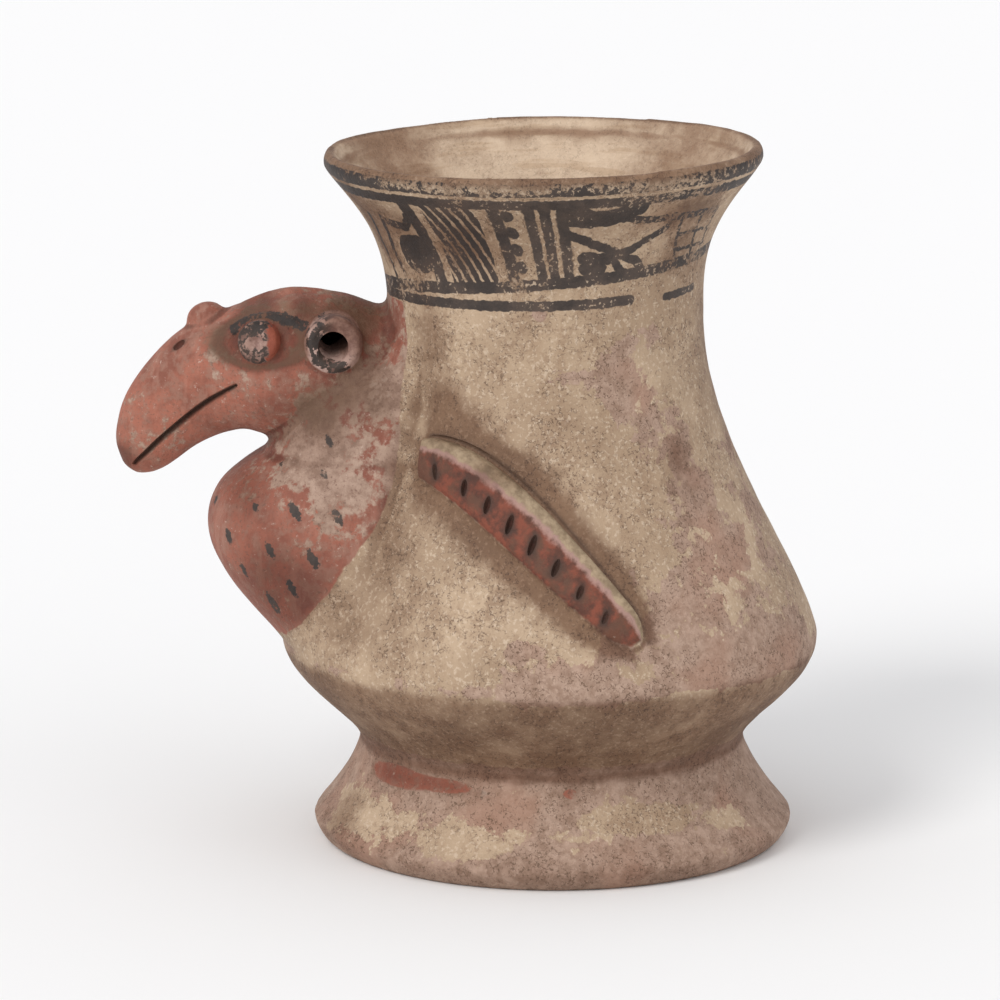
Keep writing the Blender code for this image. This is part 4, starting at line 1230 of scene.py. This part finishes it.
def neck_band(middle, half_width, climb):
    """A band round the neck that climbs toward the back."""
    run = reckon(tree, 'MULTIPLY_ADD', drawn_around, climb, middle * MILLIMETRE)
    off = reckon(tree, 'ABSOLUTE', reckon(tree, 'SUBTRACT', drawn_height, run))
    return reckon(tree, 'SUBTRACT', off, half_width * MILLIMETRE)


def neck_line(drawn, half_width, *spots):
    """What is drawn on the neck so far with one more painted line through places on it."""
    spots = [Vector((around_neck(at_angle), at_height * MILLIMETRE, 0.0)) for at_angle, at_height in spots]
    for first, second in zip(spots, spots[1:]):
        drawn = add_stroke(drawn, neck_place, first, second, half_width * MILLIMETRE)
    return drawn


leaning = reckon(tree, 'SUBTRACT', drawn_height, 234.0 * MILLIMETRE)
leaning = reckon(tree, 'MULTIPLY_ADD', leaning, LINE_LEAN, drawn_around)
between_bands = reckon(tree, 'COMPARE', drawn_height, 233.5 * MILLIMETRE, 16.5 * MILLIMETRE)
stripe_start = around_neck(-45.0)
stripe_run = around_neck(55.0)
stripes = tree.nodes.new("ShaderNodeValToRGB")
stripe_place = reckon(tree, 'MULTIPLY_ADD', leaning, 1.0 / stripe_run, -stripe_start / stripe_run)
put(tree, stripes.inputs[0], stripe_place)
stripes.color_ramp.elements[0].color = tint(0, 0, 0)
stripes.color_ramp.elements[1].color = tint(0, 0, 0)
for left, right in ((-43.2, -38.6), (-14.6, -10.9), (-4.5, -1.4), (-0.1, 2.9), (4.5, 7.8)):
    for at_angle, shade in ((left - 0.2, 0), (left, 255), (right, 255), (right + 0.2, 0)):
        stop = stripes.color_ramp.elements.new((at_angle + 45.0) / 55.0)
        stop.color = tint(shade, shade, shade)
stripe_share = times(tree, stripes.outputs[0], between_bands)
hatch = reckon(tree, 'MULTIPLY_ADD', drawn_height, 0.49, drawn_around)
hatch = ease(tree, reckon(tree, 'PINGPONG', hatch, 1.95 * MILLIMETRE), 0.00040, 0.00070)
in_hatch = reckon(tree, 'COMPARE', leaning, around_neck(-27.0), around_neck(8.7))
hatch = times(tree, hatch, in_hatch, between_bands)
rise = reckon(tree, 'SUBTRACT', drawn_height, 224.6 * MILLIMETRE)
rise = reckon(tree, 'PINGPONG', rise, 3.4 * MILLIMETRE)
run = reckon(tree, 'SUBTRACT', leaning, around_neck(-9.4))
scallop = vector_reckon(tree, 'LENGTH', joined(tree, run, rise, 0.0))
drawn = reckon(tree, 'SUBTRACT', scallop, 2.35 * MILLIMETRE)
drawn = reckon(tree, 'MAXIMUM', drawn, neck_band(233.5, 15.5, 0.0))
for band in ((255.0, 2.4, 0.0), (249.4, 1.9, 0.0), (218.0, 2.2, 0.060)):
    drawn = reckon(tree, 'MINIMUM', drawn, neck_band(*band))
for half_width, *spots in (
    (1.9, (-90, 208.8), (-43, 209.6), (31, 210.4)),
    (1.5, (47.5, 209.6), (66, 210.4)),
    # the bird's-eye disc and the arcs round it
    (7.2, (-49.6, 227.0), (-45.4, 227.4)),
    (1.2, (-57.5, 216.5), (-61.5, 226.5), (-58.0, 240.0)),
    (1.0, (-65.0, 216.5), (-69.0, 229.0), (-66.0, 240.0)),
    (1.7, (-55.5, 238.5), (-47.5, 237.6), (-43.0, 243.0)),
    # the crescent under the band, the crossing lines and the dark wedge
    (3.3, (8.0, 246.0), (13.5, 242.9), (19.5, 243.2), (27.0, 246.6)),
    (1.3, (7.6, 241.6), (13.5, 240.6)),
    (1.7, (6.9, 237.2), (23.8, 228.6), (31.5, 225.2), (34.5, 221.5)),
    (1.5, (21.0, 228.0), (29.0, 229.8), (40.0, 236.9), (41.2, 241.2)),
    (1.4, (20.0, 243.0), (30.9, 241.0), (62.0, 240.2)),
    (2.2, (12.2, 227.8), (21.0, 226.8)),
    (2.6, (13.2, 223.6), (18.6, 223.2)),
    (1.5, (22.5, 227.4), (25.0, 223.0), (30.0, 219.6)),
    # the worn ladder toward the back
    (0.8, (45.0, 240.0), (50.0, 221.0)),
    (0.8, (55.0, 240.0), (59.5, 220.0)),
    (0.8, (64.0, 240.0), (67.0, 219.0)),
    (0.7, (47.0, 233.0), (66.0, 233.0)),
    (0.7, (49.0, 227.0), (67.0, 227.0)),
):
    drawn = neck_line(drawn, half_width, *spots)
neck_share = reckon(tree, 'SUBTRACT', 1.0, ease(tree, drawn, -0.0002, 0.0002))
neck_share = reckon(tree, 'MAXIMUM', neck_share, reckon(tree, 'MAXIMUM', stripe_share, hatch))
on_neck = reckon(tree, 'COMPARE', wall_depth, -0.0012, 0.0040)
above_bird = ease(tree, neck_height, 0.2055, 0.2060)
neck_share = times(tree, neck_share, on_neck, above_bird)

# Black marks on the brows and breast, and the rings round eyes and ears
side, along, up = parts_of(tree, place)
side = reckon(tree, 'ABSOLUTE', side)
mirrored_place = joined(tree, side, along, up)
brow_line = brow_path(1.0)[0]
painted = 1.0
for first, second, half_width in ((3, 5, 0.0022), (5, 8, 0.0026), (10, 12, 0.0027), (12, 15, 0.0026)):
    painted = add_stroke(painted, mirrored_place, brow_line[first], brow_line[second], half_width)


def slanted(x, y, z):
    """A place drawn askew, so that a round mark on it comes out long and leaning."""
    return x, y + 0.55 * z, 0.5 * z


spot_place = joined(tree, side, reckon(tree, 'MULTIPLY_ADD', up, 0.55, along), times(tree, up, 0.5))
for from_front, at_height, half_width in (
    (6.2, 130.5, 1.5), (18.3, 132.6, 1.4), (25.0, 132.4, 2.1), (31.3, 130.9, 1.7), (14.1, 120.4, 1.9),
    (22.9, 117.6, 1.6), (29.6, 115.5, 1.9), (17.0, 108.3, 1.4), (26.7, 104.0, 1.7), (21.7, 96.2, 2.2),
    (15.4, 146.7, 1.1), (25.4, 145.5, 1.3), (23.7, 157.1, 1.4),
):
    spot = jar_point(math.radians(from_front - 90.0), at_height * MILLIMETRE)
    reach = vector_reckon(tree, 'DISTANCE', spot_place, slanted(*spot))
    painted = reckon(tree, 'MINIMUM', painted, reckon(tree, 'SUBTRACT', reach, half_width * MILLIMETRE))
painted = reckon(tree, 'MULTIPLY_ADD', reckon(tree, 'SUBTRACT', speck, 0.5), 0.0034, painted)
bird_share = reckon(tree, 'SUBTRACT', 1.0, ease(tree, painted, -0.0002, 0.0003))


def off_axis(centre, direction):
    """Distance from a line through a centre."""
    away = vector_reckon(tree, 'SUBTRACT', mirrored_place, centre)
    return vector_reckon(tree, 'LENGTH', vector_reckon(tree, 'CROSS_PRODUCT', away, direction))


def ring_at(off, middle, half_width, unevenness):
    """1 on an uneven painted ring."""
    ring = reckon(tree, 'ABSOLUTE', reckon(tree, 'SUBTRACT', off, middle))
    ring = reckon(tree, 'MULTIPLY_ADD', reckon(tree, 'SUBTRACT', ragged, 0.5), unevenness, ring)
    return reckon(tree, 'SUBTRACT', 1.0, ease(tree, ring, half_width, half_width + 0.0004))


eye_centre, eye_out = eye_frame(1.0)
ear_centre, ear_out = ear_frame(1.0)
eye_off = off_axis(eye_centre, eye_out)
ear_off = off_axis(ear_centre, ear_out)
on_eye = reckon(tree, 'COMPARE', vector_reckon(tree, 'DISTANCE', mirrored_place, eye_centre), 0.0, 0.0115)
on_eye = times(tree, on_eye, reckon(tree, 'SUBTRACT', 1.0, ease(tree, eye_off, 0.0078, 0.0084)))
on_ear = reckon(tree, 'COMPARE', vector_reckon(tree, 'DISTANCE', mirrored_place, ear_centre), 0.0, 0.0150)
on_ear = times(tree, on_ear, reckon(tree, 'SUBTRACT', 1.0, ease(tree, ear_off, 0.0104, 0.0110)))
pellet_colour = blend(tree, ease(tree, ragged, 0.35, 0.65), tint(146, 112, 102), tint(194, 164, 152))
eye_back = reckon(tree, 'MULTIPLY_ADD', reckon(tree, 'SUBTRACT', ragged, 0.5), 0.008, along)
eye_back = ease(tree, eye_back, eye_centre.y + 0.0030, eye_centre.y + 0.0040)
eye_red = times(tree, ease(tree, eye_off, 0.0036, 0.0046), eye_back)
eye_colour = blend(tree, eye_red, pellet_colour, tint(166, 90, 68))
colour = blend(tree, on_eye, colour, eye_colour)
colour = blend(tree, on_ear, colour, pellet_colour)
eye_front = reckon(tree, 'SUBTRACT', 1.0, eye_back)
eye_black = times(tree, ring_at(eye_off, 0.0056, 0.0023, 0.010), on_eye, eye_front)
ear_front = reckon(tree, 'SUBTRACT', 1.0, ease(tree, along, ear_centre.y - 0.0050, ear_centre.y + 0.0015))
ear_low = reckon(tree, 'SUBTRACT', 1.0, ease(tree, up, ear_centre.z - 0.0062, ear_centre.z - 0.0032))
ear_marked = reckon(tree, 'MAXIMUM', ear_front, ear_low)
ear_black = times(tree, ring_at(ear_off, 0.0080, 0.0018, 0.016), on_ear, ear_marked)

black_tone = blend(tree, ease(tree, patchy, 0.36, 0.64), tint(54, 45, 40), tint(84, 70, 61))
chip = reckon(tree, 'MULTIPLY_ADD', speck, 0.50, times(tree, patchy, 0.50))
chip = reckon(tree, 'ADD', chip, field(tree, "black_wear"))
kept_paint = reckon(tree, 'SUBTRACT', 1.0, times(tree, ease(tree, chip, 0.565, 0.61), 0.80))
black_share = reckon(tree, 'MAXIMUM', reckon(tree, 'MAXIMUM', neck_share, bird_share), eye_black)
black_share = times(tree, reckon(tree, 'MAXIMUM', black_share, ear_black), kept_paint)
colour = blend(tree, black_share, colour, black_tone)

# Dirt and painted shade in the lows and cuts, and chalky bloom
bloom = reckon(tree, 'MULTIPLY_ADD', patchy, 0.6, times(tree, ragged, 0.4))
bloom = reckon(tree, 'ADD', bloom, field(tree, "chalk"))
colour = blend(tree, times(tree, ease(tree, bloom, 0.64, 0.70), 0.6), colour, tint(188, 168, 152))
# the lows darkened with dirt and painted shade
crease_dirt_and_shade = times(tree, ease(tree, field(tree, "crease"), 0.02, 0.26), 0.80)
# dirt and stains, with painted shade under the shoulder, round the wings and under the crest
dirt_and_shade = reckon(tree, 'MULTIPLY_ADD', patchy, 0.8, times(tree, field(tree, "grime_and_shade"), 0.9))
dirt_and_shade = times(tree, ease(tree, dirt_and_shade, 0.42, 1.05), 0.85)
colour = blend(tree, reckon(tree, 'MAXIMUM', dirt_and_shade, crease_dirt_and_shade), colour, tint(158, 131, 112), 'MULTIPLY')
# the cuts darkened with dirt and painted shade
colour = blend(tree, field(tree, "cuts"), colour, tint(62, 45, 36))
put(tree, shader.inputs["Base Color"], colour)

rough = reckon(tree, 'MULTIPLY_ADD', bare_share, 0.12, 0.70)
rough = reckon(tree, 'MULTIPLY_ADD', black_share, -0.10, rough)
rough = reckon(tree, 'MULTIPLY_ADD', ragged, 0.10, rough)
put(tree, shader.inputs["Roughness"], rough)

relief = reckon(tree, 'MULTIPLY_ADD', speck, 0.34, times(tree, ragged, 0.60))
relief = reckon(tree, 'MULTIPLY_ADD', grain, 0.10, relief)
relief = reckon(tree, 'MULTIPLY_ADD', sweep, 0.30, relief)
bump = tree.nodes.new("ShaderNodeBump")
bump.inputs["Strength"].default_value = 0.9
bump.inputs["Distance"].default_value = MILLIMETRE
put(tree, bump.inputs["Height"], relief)
put(tree, shader.inputs["Normal"], bump.outputs[0])
jar.data.materials.clear()
jar.data.materials.append(clay)

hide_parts("bird_effigy_jar")
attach(jar, "root")
